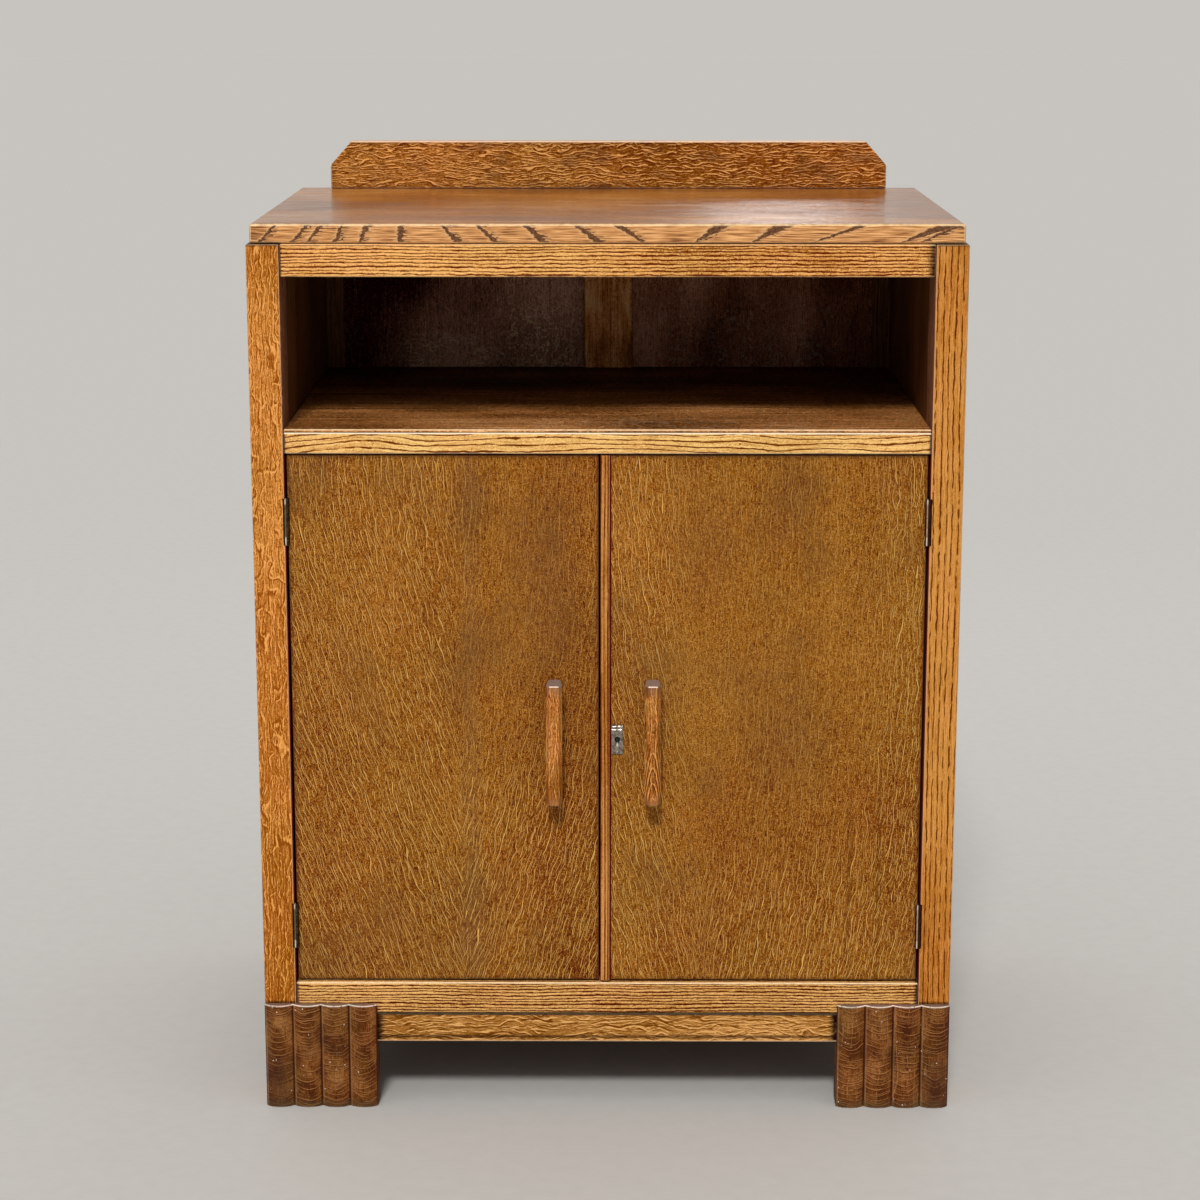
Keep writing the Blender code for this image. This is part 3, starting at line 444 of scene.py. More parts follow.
bottomRail = dict(
    ribbed, seed=3.0, lineDepth=0.95, level=0.71, waveLength=0.18, uneven=1.4, ripple=0.0028, worm=0.28,
    solid=0.45, lit=1.02, wornShade=(246, 214, 168),
    shades=[(96, 40, 0), (140, 78, 10), (168, 109, 42), (198, 141, 76), (229, 174, 106)],
    grime=[("x", -postInner, 0.0045, 1.0), ("x", postInner, 0.006, 1.0), ("z", 0.1069, 0.0034, 1.5)],
    rubbed=[("z", 1, 0.0018, 0.9)],
)
apronRail = dict(
    commonWear, axes="zyx", seed=4.0, worm=0.12, wander=0.012, waveLength=0.08, lit=0.96, fine=0.35,
    shades=[(118, 70, 18), (155, 101, 42), (170, 116, 55), (185, 130, 68), (213, 158, 94)],
    squiggle=0.4, fineLength=0.02, cloud=0.9, punch=(1.1, 1.4),
    flecks=[
        (0.0068, 0.0009, 0.028, 0.6, 0.5, 0.02, 0.022),
        (0.0041, 0.0008, 0.014, 0.5, 0.35, 0.012, 0.01),
        (0.006, 0.001, 0.022, 0.5, -0.4, 0.02, 0.018),
    ],
    grime=[
        ("x", -postInner + 0.09, 0.01, 0.9), ("x", postInner - 0.09, 0.01, 0.9),
        ("z", 0.1066, 0.003, 1.3), ("z", 0.0795, 0.003, 0.7),
    ],
    rubbed=[("z", 0, 0.0022, 0.9)], specks=0.5, speckScale=120.0,
)
rails = {"top_rail": topRail, "shelf_rail": shelfRail, "bottom_rail": bottomRail, "apron_rail": apronRail}
for node, look in rails.items():
    low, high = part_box(node)
    box = ((-postInner, low.y, low.z), (postInner, high.y, high.z))  # without the tenons
    coverBoard(node, dict(look, bareFaces=[("y", 1, plainShades)]), box)
print("front rails done")

# corner posts: the left one quarter-sawn and curly, the right one straight and ribbed
postBare = [(70, 40, 28), (108, 68, 48), (140, 92, 66), (164, 114, 84), (190, 142, 110)]
leftPost = dict(
    commonWear, seed=5.0, pitch=0.004, lineDepth=0.55, early=0.3, dash=0.04,
    shades=[(146, 78, 10), (178, 108, 38), (197, 127, 55), (212, 142, 68), (234, 165, 90)],
    squiggle=0.45, fine=0.35, fineLength=0.012, ripple=0.002, worm=0.26, hueDrift=0.8, punch=(1.0, 1.3),
    lit=1.03,
    flecks=[
        (0.009, 0.001, 0.018, 0.5, 0.38, 0.014, 0.022),
        (0.0046, 0.0007, 0.014, 0.5, 0.5, 0.012, 0.012),
        (0.0034, 0.0006, 0.026, 0.6, -0.34, 0.024, 0.008),
        (0.019, 0.002, 0.024, 0.3, 0.4, 0.018, 0.04),
    ],
    shadedAlong=[("z", 0.84, 0.56, -0.08), ("z", 0.88, 0.95, -0.16)], linesBelow=(0.26, 0.42),
    grime=[("z", 0.12, 0.0035, 0.7), ("z", 0.9632, 0.003, 0.9)],
    rubbed=[("x", 1, 0.0013, 0.9), ("x", 0, 0.001, 0.5)],
    bareFaces=[("x", 1, postBare), ("y", 1, insideShades)], redEdges=[(1, 0.022)],
)
rightPost = dict(
    commonWear, seed=6.0, level=0.6, pitch=0.006, lineDepth=0.85, early=0.24, uneven=1.2, wander=0.007,
    dash=0.013, solid=0.06, fine=0.75, fineLength=0.03, worm=0.12, ripple=0.003, hueDrift=0.5,
    shades=[(108, 50, 0), (162, 96, 32), (188, 120, 50), (202, 134, 62), (222, 154, 82)],
    punch=(1.0, 1.2), lit=1.05, grime=[("z", 0.12, 0.0035, 0.7), ("z", 0.9632, 0.003, 0.9)],
    shadedAlong=[("z", 0.85, 0.6, 0.09), ("z", 0.42, 0.2, -0.14)],
    rubbed=[("x", 0, 0.0013, 0.9), ("x", 1, 0.001, 0.5)],
    bareFaces=[("x", -1, postBare), ("y", 1, insideShades)], redEdges=[(-1, 0.022)],
)
rearPost = dict(
    rightPost, redEdges=[], rubbed=[], grime=[], wear=0.3, greying=0.5, greyShade=(110, 84, 56),
    lineDepth=0.5,
)
posts = {"front_post_left": leftPost, "front_post_right": rightPost}
for side, seed, inner in (("left", 7.0, 1), ("right", 8.0, -1)):
    bareFaces = [("x", inner, insideShades), ("y", -1, insideShades), ("y", 1, plainShades)]
    posts["rear_post_" + side] = dict(rearPost, seed=seed, bareFaces=bareFaces)
for node, look in posts.items():
    coverBoard(node, look)
print("posts done")

# top board: streaked along its length, with dark leaning bands on its front edge
topBoard = dict(
    commonWear, axes="yzx", seed=9.0, pitch=0.013, lineDepth=0.2, level=0.56, wander=0.02,
    waveLength=0.5, tilt=0.6,
    shades=[(92, 46, 8), (132, 74, 22), (154, 92, 34), (174, 112, 50), (202, 144, 82)], roughness=0.2,
    roughVaries=0.24, gloss=0.42, wear=0.95, wornShade=(255, 222, 168), wearWidth=0.0026, squiggle=0.2,
    cloud=0.7, fine=0.85, fineLength=0.2, worm=0.1, wormSize=0.004, punch=(1.2, 1.2), dash=0.12,
    lit=1.06, bareFaces=[("z", -1, insideShades)],
)
edgeLook = {
    "shades": [(114, 68, 31), (180, 120, 68), (203, 141, 83), (217, 155, 95), (235, 174, 113)],
    "bandShade": (84, 44, 12),
    "haloShade": (234, 180, 122),
    "jag": 0.012,
    "thorn": 0.0042,
    "halfHeight": 0.0105,
    "bands": [
        # x of the band's middle, how far it leans per metre of height, width, how much it widens upwards
        (-0.3586, 0.95, 0.005, 0.2), (-0.3239, 0.85, 0.006, 0.0), (-0.3082, 0.85, 0.006, 0.1),
        (-0.283, 0.45, 0.006, -0.3), (-0.2567, 0.4, 0.007, 0.2), (-0.2178, 0.05, 0.008, 0.0),
        (-0.1653, -0.9, 0.008, -0.2), (-0.1265, -1.1, 0.008, -0.3), (-0.076, -1.1, 0.011, -0.2),
        (-0.0204, -1.4, 0.011, -0.3), (0.0248, -1.5, 0.01, 0.4), (0.1067, 1.6, 0.014, 0.85),
        (0.1687, 1.8, 0.016, 0.85), (0.2422, 2.9, 0.011, 0.7), (0.3336, 2.7, 0.02, 0.7),
        (0.35, 2.4, 0.008, 0.5),
    ],
}
wood = startWood("top_board", topBoard)
jag = swing(wood["place"], (0.01, 0.01, 0.003), 51.0, edgeLook["jag"], 3.0, 0.6)
thorns = grain(wood["place"], (0.022, 0.01, 0.0019), 53.0, 1.0)
thorn = abs(thorns - 0.5).fade(0.0, 0.075) * edgeLook["thorn"]
nearest = 1.0
for place, lean, width, widens in edgeLook["bands"]:
    upwards = fromMiddleOf(wood, "z")
    away = abs(wood["x"] - place - upwards * lean + jag - thorn * 0.9)
    spread = width * (0.8 + upwards * (widens / edgeLook["halfHeight"])) + thorn * 2
    nearest = (away / spread).lower(nearest)
core = nearest.fade(0.36, 0.54)
halo = nearest.fade(0.55, 0.95) * 0.6
feather = grain(wood["place"], (0.0016, 0.01, 0.0008), 55.0, 2.0).ease(0.3, 0.62)
streak = swing(wood["place"], (0.03, 0.02, 0.0013), 57.0, 1.9, 3.0)
endDark = wood["x"].ease(-0.33, -0.38) * 0.16  # towards the left end
edgeColour = (0.54 + streak - endDark).shaded(edgeLook["shades"], (1.1, 1.5), 1.0)
edgeColour = edgeColour.towards(edgeLook["haloShade"], halo)
edgeColour = edgeColour.towards(edgeLook["bandShade"], core * (0.75 + 0.25 * feather))
onEdge = depthUnder(wood, "y", 0).fade(0.0004, 0.0014)
dress("top_board", finishWood(wood, topBoard, oakTone(wood, topBoard), [(edgeColour, onEdge)]))

gallery = dict(
    commonWear, axes="zyx", seed=10.0, wander=0.012, waveLength=0.15, fine=0.4, worm=0.22,
    shades=[(112, 54, 2), (140, 80, 20), (158, 97, 35), (175, 113, 51), (206, 144, 82)], lit=0.98,
    hueDrift=0.7, squiggle=0.6, fineLength=0.02, wormSize=0.0018, punch=(1.1, 1.9),
    flecks=[
        (0.0046, 0.0008, 0.016, 0.55, 0.6, 0.014, 0.012),
        (0.0033, 0.0007, 0.01, 0.55, 0.4, 0.01, 0.01),
    ],
    wornShade=(240, 204, 172), wear=0.35, wearWidth=0.002, rimDirtAndShade=0.22, rimReach=0.01, thinAxis="y",
    rubbed=[("z", 1, 0.0016, 0.9)], greying=0.5, greyShade=(96, 56, 34), greySize=(0.04, 0.04, 0.02),
    bareFaces=[("y", 1, plainShades)], topShade=(226, 186, 158),
)
wood = startWood("gallery_board", gallery, name="gallery_oak")
# the top face painted pale, as the sheen of the light on it
onTop = depthUnder(wood, "z", 1).fade(*faceSkin)
overlays = [(gallery["topShade"], onTop * 0.8)]
dress("gallery_board", finishWood(wood, gallery, oakTone(wood, gallery), overlays))
print("top done")

# doors: brown oak with pale leaning flecks, and edges stained red
reddishShades = [(62, 28, 18), (78, 38, 24), (94, 50, 32), (110, 62, 42), (128, 78, 54)]
door = dict(
    commonWear, level=0.48, fine=0.42, fineLength=0.005, pore=0.25, cloud=0.35, worm=0.46,
    shades=[(112, 57, 0), (134, 78, 11), (148, 92, 24), (162, 105, 37), (190, 133, 64)],
    punch=(1.45, 1.6), squiggle=0.4, wear=0.15, rimDirtAndShade=0.45, rimReach=0.006, thinAxis="y", greying=0.35,
    greyShade=(112, 78, 44), hueDrift=0.55, relief=0.18,
    bareFaces=[("y", 1, insideShades), ("x", 1, reddishShades), ("x", -1, reddishShades)],
    redEdges=[(1, 0.01), (-1, 0.01)], specks=0.55, speckScale=230.0, speckShade=(230, 186, 128),
    wormSize=0.0018, strokeShade=(228, 178, 98), strokeDark=(78, 38, 4), wormStretch=1.15,
    smokeShade=(92, 62, 42), seamShade=(122, 92, 58), stripeShade=(92, 50, 14),
)
doorFigures = {
    # seam: where the figure is joined; steepen: the height over which the lean sets in from the top edge
    # left, right: how far the strokes lean either side of the seam, and how much more lower down
    # calm: where strokes are fewer: its middle, half width and lower end; smoke: x, z, reach and strength
    "door_left": dict(
        seed=11.0, seam=-0.16, softness=0.003, steepen=0.05, left=(-0.25, -0.1), right=(0.02, 0.26),
        calm=(-0.085, 0.11, 0.42), seamBand=0.22, stripes=[],
        shadedAlong=[("x", -0.12, -0.02, -0.06), ("z", 0.6, 0.25, -0.06)],
        smoke=[(-0.145, 0.69, 0.04, 0.28), (-0.06, 0.61, 0.06, 0.3), (-0.15, 0.23, 0.06, 0.28)],
    ),
    "door_right": dict(
        seed=12.0, seam=0.1, softness=0.045, steepen=0.1, left=(-0.24, 0.0), right=(-0.04, 0.2),
        calm=(0.19, 0.15, 0.3), seamBand=0.0, stripes=[0.267, 0.299],
        shadedAlong=[("x", 0.1, 0.02, 0.05), ("z", 0.5, 0.2, -0.06)],
        smoke=[(0.2, 0.7, 0.05, 0.32), (0.195, 0.43, 0.075, 0.3), (0.11, 0.64, 0.06, 0.22)],
    ),
}
doorStrokes = [
    # spacing, width, length, share, strength
    (0.008, 0.00046, 0.018, 0.62, 1.0), (0.0057, 0.00043, 0.012, 0.52, 0.8),
    (0.0041, 0.00043, 0.008, 0.48, 0.6),
]
for node, figure in doorFigures.items():
    look = dict(door, seed=figure["seed"], shadedAlong=figure["shadedAlong"])
    wood = startWood(node, look)
    x, z = wood["x"], wood["z"]
    fall = depthUnder(wood, "z", 1)
    settle = wood["wire"].maths("EXPONENT", fall / -figure["steepen"])
    sweep = fall - figure["steepen"] * (1 - settle)
    bow = fall * fall
    side = (x - figure["seam"]).ease(-figure["softness"], figure["softness"])
    curl = swing(wood["grain"], (0.016, 0.02, 0.032), 4.4, 0.005)
    middle, reach, lowEnd = figure["calm"]
    calm = abs(x - middle).fade(reach * 0.5, reach) * z.ease(lowEnd - 0.1, lowEnd + 0.05)
    ragged = swing(wood["place"], (0.02, 0.02, 0.03), 80.0, 0.06, 3.0)
    overlays = []
    for middle, height, reach, strength in figure["smoke"]:
        acrossIt = x - middle + ragged
        upIt = (z - height + ragged) * 0.7
        away = wood["wire"].maths("SQRT", acrossIt * acrossIt + upIt * upIt)
        overlays.append((door["smokeShade"], away.fade(reach * 0.1, reach) * strength))
    if figure["seamBand"]:
        band = abs(x - figure["seam"] - 0.012 + ragged * 0.3).fade(0.002, 0.016)
        overlays.append((door["seamShade"], band * figure["seamBand"]))
    for middle in figure["stripes"]:
        stripe = abs(x - middle + ragged * 0.05).fade(0.0008, 0.0042)
        overlays.append((door["stripeShade"], stripe * z.fade(0.28, 0.42) * 0.4))
    for at, (*size, strength) in enumerate(doorStrokes):
        sets = []
        for (lean, more), shift in ((figure["left"], 60.0), (figure["right"], 65.0)):
            u = wood["u"] + sweep * lean + bow * more + curl
            sets.append(hairLines(wood, u, *size, shift=shift + at))
        light, dark = (leftOnes * (1 - side) + rightOnes * side for leftOnes, rightOnes in zip(*sets))
        present = (1 - calm * 0.65) * strength
        # the dark edge beside each stroke is painted shadow
        overlays.append((door["strokeDark"], dark * present * 0.8))
        overlays.append((door["strokeShade"], light * present))
    dress(node, finishWood(wood, look, oakTone(wood, look), overlays))

bead = dict(
    commonWear, seed=13.0, level=0.64, pitch=0.003, lineDepth=0.55, wander=0.003, dash=0.03, worm=0.14,
    shades=[(117, 58, 6), (150, 90, 30), (169, 106, 45), (186, 122, 60), (209, 144, 82)], wear=0.06,
    grimeShade=(82, 20, 9),
    grime=[("x", 0.0045, 0.0026, 1.5), ("x", 0.0012, 0.0008, 0.9), ("x", -0.0075, 0.0012, 0.8)],
    rubbed=[("x", 0, 0.001, 0.5)], bareFaces=[("x", -1, reddishShades), ("y", 1, reddishShades)],
)
coverBoard("cover_bead", bead, name="bead_oak")

# handles: flame figured fronts, painted shade where they meet the doors and at their low ends, dusty on
# top
handle = dict(
    commonWear, pitch=0.0026, lineDepth=0.15, waveLength=0.08, relief=0.25,
    shades=[(116, 62, 12), (150, 90, 34), (170, 105, 46), (186, 120, 58), (214, 148, 84)], worm=0.2,
    punch=(1.15, 1.4), roughness=0.36, gloss=0.14, wear=0.2, wornShade=(250, 222, 200), wearWidth=0.0012,
    hueDrift=0.9, lit=0.98, driftSize=(0.02, 0.02, 0.03), squiggle=0.35, cloud=0.9,
    cloudSize=(0.03, 0.03, 0.05), paintedShadeAtDoor=(78, 38, 14), neckShade=(142, 106, 84),
    paintedShadeAtEnd=(156, 108, 72), topShade=(136, 116, 110), dust=(0.0012, 0.012, 0.01), archPitch=0.017,
    archBow=560.0, archLift=0.42, rubbed=[("z", 1, 0.0012, 1.7)],
    flecks=[
        (0.0052, 0.0006, 0.014, 0.6, 0.4, 0.01, 0.006),
        (0.0046, 0.0007, 0.018, 0.5, -0.25, 0.012, 0.005),
    ],
)
handleArches = {
    # seed, level of the tone, how strong the arches are, and between which heights above the low end
    "handle_left": (14.0, 0.55, 0.25, 0.05, 0.11), "handle_right": (15.0, 0.46, 1.0, 0.01, 0.06),
}
for node, (seed, level, archLift, archLow, archHigh) in handleArches.items():
    look = dict(handle, seed=seed, level=level)
    wood = startWood(node, look)
    fromMiddle = fromMiddleOf(wood, "x")
    arch = wood["z"] + fromMiddle * fromMiddle * look["archBow"]
    uneven = swing(wood["place"], (0.008, 0.008, 0.012), 33.0, 0.25, 2.0)
    steepness = 1 + abs(fromMiddle) * (2 * look["archBow"])
    away = ((arch / look["archPitch"] + uneven).fract() - 0.5) * look["archPitch"] / steepness
    fromEnd = depthUnder(wood, "z", 0)
    where = fromEnd.ease(archLow - 0.006, archLow + 0.004)
    where = where * fromEnd.fade(archHigh - 0.006, archHigh + 0.008)
    arches = abs(away).fade(0.0002, 0.0008) - abs(away + 0.0012).fade(0.0002, 0.001) * 0.8
    arches = arches * where
    onTop = depthUnder(wood, "z", 1).fade(0.0006, 0.0022)
    belowTop = depthUnder(wood, "z", 1).fade(0.004, 0.016)
    atDoor = depthUnder(wood, "y", 1).fade(0.004, 0.022)
    lowEnd = depthUnder(wood, "z", 0).fade(0.002, 0.014)
    # painted shade by the door and at the low end, a grey band below the top, and dust on top
    overlays = [
        (look["paintedShadeAtDoor"], atDoor * 0.45),
        (look["neckShade"], belowTop * 0.45),
        (look["paintedShadeAtEnd"], lowEnd * 0.6),
        (look["topShade"], onTop * (0.75 + 0.5 * grain(wood["place"], look["dust"], 37.0))),
    ]
    tone = oakTone(wood, look) + arches * (look["archLift"] * archLift)
    dress(node, finishWood(wood, look, tone, overlays), rounding["handle"])
print("doors done")

# reeded feet: dark, with pale arcs where the rays meet the round of each reed
foot = dict(
    commonWear, level=0.52, wander=0.004, fine=0.22, fineLength=0.02, pore=0.2, reeds=4, sag=38.0,
    hollow=24, worm=0.2, shades=[(72, 36, 8), (92, 51, 19), (106, 62, 27), (118, 72, 35), (142, 96, 56)],
    cloud=1.3, cloudSize=(0.022, 0.022, 0.034), hueDrift=1.0, driftSize=(0.03, 0.03, 0.04),
    punch=(1.1, 1.35), lit=0.93, greying=0.5, greyShade=(64, 38, 28), greySize=(0.03, 0.03, 0.04),
    wear=0.3, wornShade=(176, 150, 128), wearWidth=0.0016, specks=1.3, speckScale=120.0,
    speckShade=(238, 230, 220), gloss=0.14, ledgeShade=(124, 100, 92), ledgeEdge=(246, 228, 218),
    cuspShade=(168, 132, 100), footShade=(88, 74, 52),
    arcs=[(0.0066, 0.00048, 0.04, 0.75, 1.35), (0.0046, 0.00045, 0.018, 0.55, 0.7)],
    streaks=(0.011, 0.0006, 0.04, 0.4), shadowShade=(62, 38, 30),
)
for node, (seed, upright) in {"reeded_foot_left": (16.0, 0.0), "reeded_foot_right": (17.0, 0.4)}.items():
    wood = startWood(node, dict(foot, seed=seed))
    pitch = (wood["highs"]["x"] - wood["lows"]["x"]) / foot["reeds"]
    fromMiddle = ((depthUnder(wood, "x", 0) / pitch).fract() - 0.5) * pitch
    curl = swing(wood["place"], (0.02, 0.02, 0.02), 4.4, 0.008)
    arc = wood["z"] - fromMiddle * fromMiddle * foot["sag"] + curl
    nearMiddle = abs(fromMiddle).fade(pitch * 0.38, pitch * 0.5)
    tone = oakTone(wood, foot)
    # pale arcs, each with painted shadow on its right
    for at, (*size, lift) in enumerate(foot["arcs"]):
        light, dark = hairLines(wood, arc, *size, shift=71.0 + at, v=wood["x"] + seed)
        tone = tone + (light - dark * 0.5) * nearMiddle * lift
    if upright:
        light, dark = hairLines(wood, wood["u"], *foot["streaks"], shift=75.0)
        tone = tone + light * upright
    toCusp = 0.5 * pitch - abs(fromMiddle)
    ragged = grain(wood["place"], (0.003, 0.003, 0.004), 77.0, 2.0)
    # painted shade in the hollows between the reeds, and a pale line on each reed's left edge, partly
    # wear and partly painted highlight
    grooveShade = toCusp.fade(0.0004, 0.002)
    cuspWearAndHighlight = abs(fromMiddle + pitch * 0.5 - 0.0016).fade(0.0004, 0.0013) * (0.2 + ragged)
    tone = tone - grooveShade * 0.45
    belowTop = depthUnder(wood, "z", 1)
    behindReed = depthUnder(wood, "y", 0) - fromMiddle * fromMiddle * foot["hollow"]
    outwards = behindReed.fade(0.0006, 0.002)
    fromOuter = depthUnder(wood, "x", 1 if "right" in node else 0)
    lowOuter = fromOuter.fade(pitch * 0.5, pitch * 1.2) * wood["z"].fade(0.03, 0.09)
    overlays = [
        (foot["shadowShade"], lowOuter * (0.25 + 0.6 * ragged)),
        (foot["cuspShade"], cuspWearAndHighlight * 0.6),
        (foot["footShade"], wood["z"].fade(0.002, 0.012) * 0.45),
        (foot["ledgeShade"], belowTop.fade(0.0006, 0.0016)),
        (foot["ledgeEdge"], belowTop.fade(0.0004, 0.0014) * outwards * ragged.ease(0.3, 0.44)),
    ]
    dress(node, finishWood(wood, foot, tone, overlays))
print("feet done")

# inside: dark brown, scuffed and dusty
inside = dict(commonWear, wear=0.2, roughness=0.55, gloss=0.05, shades=insideShades, worm=0.2)
shelfShades = [(106, 60, 24), (150, 92, 44), (178, 114, 60), (200, 136, 78), (232, 174, 116)]
leftBackShades = [(90, 52, 38), (140, 96, 76), (172, 122, 98), (194, 144, 120), (222, 180, 158)]
rightBackShades = [(84, 44, 26), (124, 76, 52), (148, 94, 66), (168, 114, 86), (196, 146, 116)]
muntinShades = [(160, 92, 40), (196, 126, 66), (220, 148, 84), (234, 168, 104), (250, 196, 140)]
back = dict(
    inside, cloud=1.2, fine=0.4, fineLength=0.03, pore=0.15, punch=(1.2, 1.6), lit=0.8, relief=0.12,
    gloss=0.02, bareFaces=[("y", 1, plainShades)],
)
panelFront = ("y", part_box("back_panel_left")[0].y, 0.004)
# the back panels and muntin are painted darker towards the compartments' corners and under the top, as
# shade, and the shelf darker towards the back, as dirt and shade
insideBoards = {
    "compartment_shelf": dict(
        inside, axes="yzx", seed=20.0, shades=shelfShades, shadedAlong=[("y", -0.12, 0.2, -0.22)],
        rubbed=[("z", 1, 0.0018, 1.0)], lineDepth=0.35, pitch=0.008, punch=(1.5, 1.5), fine=0.8,
        fineLength=0.16, dash=0.1, wormSize=0.0036, bareFaces=[("z", -1, insideShades)],
        scuffsAndGlints=[((0.03, 0.02, 0.02), 0.18, (236, 206, 166), [("x", 0.05, 0.3), ("y", -0.2, 0.05)])],
    ),
    "cupboard_floor": dict(inside, axes="yzx", seed=21.0),
    "cupboard_shelf": dict(inside, axes="yzx", seed=22.0),
    "back_muntin": dict(
        back, seed=25.0, shades=muntinShades, lineDepth=0.12, pitch=0.009, level=0.52, fine=0.7,
        cloudSize=(0.02, 0.02, 0.06), shadedAlong=[("z", 0.84, 0.93, -0.25)],
        grime=[("x", -0.03, 0.0025, 0.5), ("x", 0.03, 0.0025, 0.5)],
    ),
    "back_panel_left": dict(
        back, seed=26.0, shades=leftBackShades, level=0.56,
        shadedAlong=[("x", -0.15, -0.33, -0.3), ("z", 0.8, 0.95, -0.14)],
        scuffsAndGlints=[
            ((0.01, 0.01, 0.01), 1.5, (255, 228, 186),
             [("x", -0.085, 0.065), ("z", 0.805, 0.05), panelFront]),
            ((0.016, 0.016, 0.008), 1.5, (255, 226, 182),
             [("x", -0.195, 0.075), ("z", 0.785, 0.03), panelFront]),
        ],
    ),
    "back_panel_right": dict(
        back, seed=27.0, shades=rightBackShades, shadedAlong=[("x", 0.18, 0.33, -0.22)],
        scuffsAndGlints=[
            ((0.012, 0.012, 0.012), 0.35, (230, 214, 196),
             [("x", 0.17, 0.16), ("z", 0.8, 0.06), panelFront]),
        ],
    ),
}
for node, look in insideBoards.items():
    coverBoard(node, look)

# the cabinet's sides: framed panels, finished outside and dull inside
sidePanel = dict(
    commonWear, axes="yxz", level=0.48, pitch=0.007, lineDepth=0.3, wander=0.02, tilt=0.1, squiggle=0.4,
    cloud=0.9, shades=[(104, 54, 10), (130, 75, 26), (148, 90, 36), (166, 106, 48), (192, 132, 72)],
    greying=0.3, greyShade=(118, 84, 54), rimDirtAndShade=0.5, rimReach=0.01, thinAxis="x",
    flecks=[
        (0.009, 0.001, 0.03, 0.45, 0.26, 0.03, 0.02),
        (0.006, 0.0009, 0.02, 0.4, -0.3, 0.02, 0.01),
    ],
)
for node, seed, inner in (("side_panel_left", 23.0, 1), ("side_panel_right", 24.0, -1)):
    coverBoard(node, dict(sidePanel, seed=seed, bareFaces=[("x", inner, insideShades)]))

sideRail = dict(
    rightPost, axes="zxy", redEdges=[], rubbed=[],
    grime=[("y", -0.1735, 0.003, 0.9), ("y", 0.2375, 0.003, 0.9)], shadedAlong=[], pitch=0.0036,
    lineDepth=0.45,
)
for at, (side, inner) in enumerate((("left", 1), ("right", -1))):
    for level, seed in (("top", 45.0), ("bottom", 47.0)):
        look = dict(sideRail, seed=seed + at, bareFaces=[("x", inner, insideShades)])
        coverBoard(f"side_{level}_rail_{side}", look)

plain = dict(commonWear, relief=0.4, wear=0.15, roughness=0.62, gloss=0.15, shades=plainShades)
plainBoards = {"rear_top_rail": "zyx", "rear_bottom_rail": "zyx", "door_stop_strip": "zyx"}
for board in ("compartment_bearer", "cupboard_shelf_bearer", "floor_bearer", "foot_block"):
    for side in ("left", "right"):
        plainBoards[f"{board}_{side}"] = "zxy" if "bearer" in board else "xyz"
for at, (node, axes) in enumerate(plainBoards.items()):
    look = dict(plain, axes=axes, seed=30.0 + at)
    if "foot" in node or "strip" in node:
        look["shades"] = insideShades
    if node.startswith("rear"):
        look["bareFaces"] = [("y", -1, insideShades)]
    coverBoard(node, look)
print("inside, sides and back done")

metals = {
    "steel": {"clean": (128, 118, 100), "dull": (66, 56, 44), "roughness": 0.3},
    "nickel": {"clean": (196, 188, 176), "dull": (104, 92, 76), "roughness": 0.26},
    "brass": {"clean": (178, 142, 84), "dull": (136, 104, 56), "roughness": 0.36},
}
bronzed = {"clean": (92, 74, 50), "dull": (52, 38, 22), "roughness": 0.34}


def paintedBarrelHighlight(place, colour):
    # painted highlights on the hinges' barrels: a bright line a little beside the pins, and brighter
    # spots near their ends
    x, z = place.part(0), place.part(2)
    ragged = grain(place, (0.002, 0.002, 0.006), 8.0, 2.0)
    toLine = abs(x + hingeX + 0.0007).lower(abs(x - hingeX + 0.0017))  # a little beside the pins
    line = toLine.fade(0.0003, 0.001) * (0.35 + ragged)
    tips = 1.0
    for low, high in hingeHeights:
        tips = (abs(z - low - 0.005).lower(abs(z - high + 0.001))).lower(tips)
    tip = line * tips.fade(0.003, 0.006)
    onRight = x.ease(-0.01, 0.01)
    colour = colour.towards(tint(64, 24, 20), onRight * 0.75)
    colour = colour.towards(tint(150, 132, 108), line * (1 - onRight) * 0.8)
    colour = colour.towards(tint(236, 200, 174), line * onRight * 0.95)
    return colour.towards(tint(255, 240, 226), tip)


keyhole = {"radius": 0.0031, "slotReach": 0.0019, "slotDrop": 0.0026, "slotRise": 0.003}


def paintedKeyholeShade(place, colour):
    # painted shade round the keyhole, that makes the dark hole look larger: a round above a slot
    x, z = place.part(0), place.part(2)
    low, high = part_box("lock_plate")
    fromX = abs(x - (low.x + high.x) / 2)
    fromZ = z - (low.z + high.z) / 2
    away = place.maths("SQRT", fromX * fromX + fromZ * fromZ) / keyhole["radius"]
    slot = (fromX / keyhole["slotReach"]).higher(abs(fromZ + keyhole["slotDrop"]) / keyhole["slotRise"])
    return colour.towards(tint(26, 22, 18), away.lower(slot).fade(0.92, 1.08))


def makeMetal(name, look, changed=None):
    material, shader, wire = startMaterial(name)
    place = wire.node("TexCoord", output=3)
    tarnish = grain(place, (0.004, 0.004, 0.004), 2.0, 3.0, 0.6)
    brushed = grain(place, (0.0004, 0.0004, 0.004), 5.0, 1.0)
    mask = tarnish.ease(0.42, 0.62)
    colour = (mask * 0.85).between(look["clean"], look["dull"])
    if changed:
        colour = changed(place, colour)
    roughness = look["roughness"] + mask * 0.25 + (brushed - 0.5) * 0.1
    plug(colour, shader, "Base Color")
    plug(roughness, shader, "Roughness")
    height = tarnish * 0.5 + brushed * 0.5
    bump = wire.node("Bump", {}, {"Strength": 0.25, "Distance": 0.0002, "Height": height})
    plug(bump, shader, "Normal")
    shader.inputs["Metallic"].default_value = 1.0
    return material


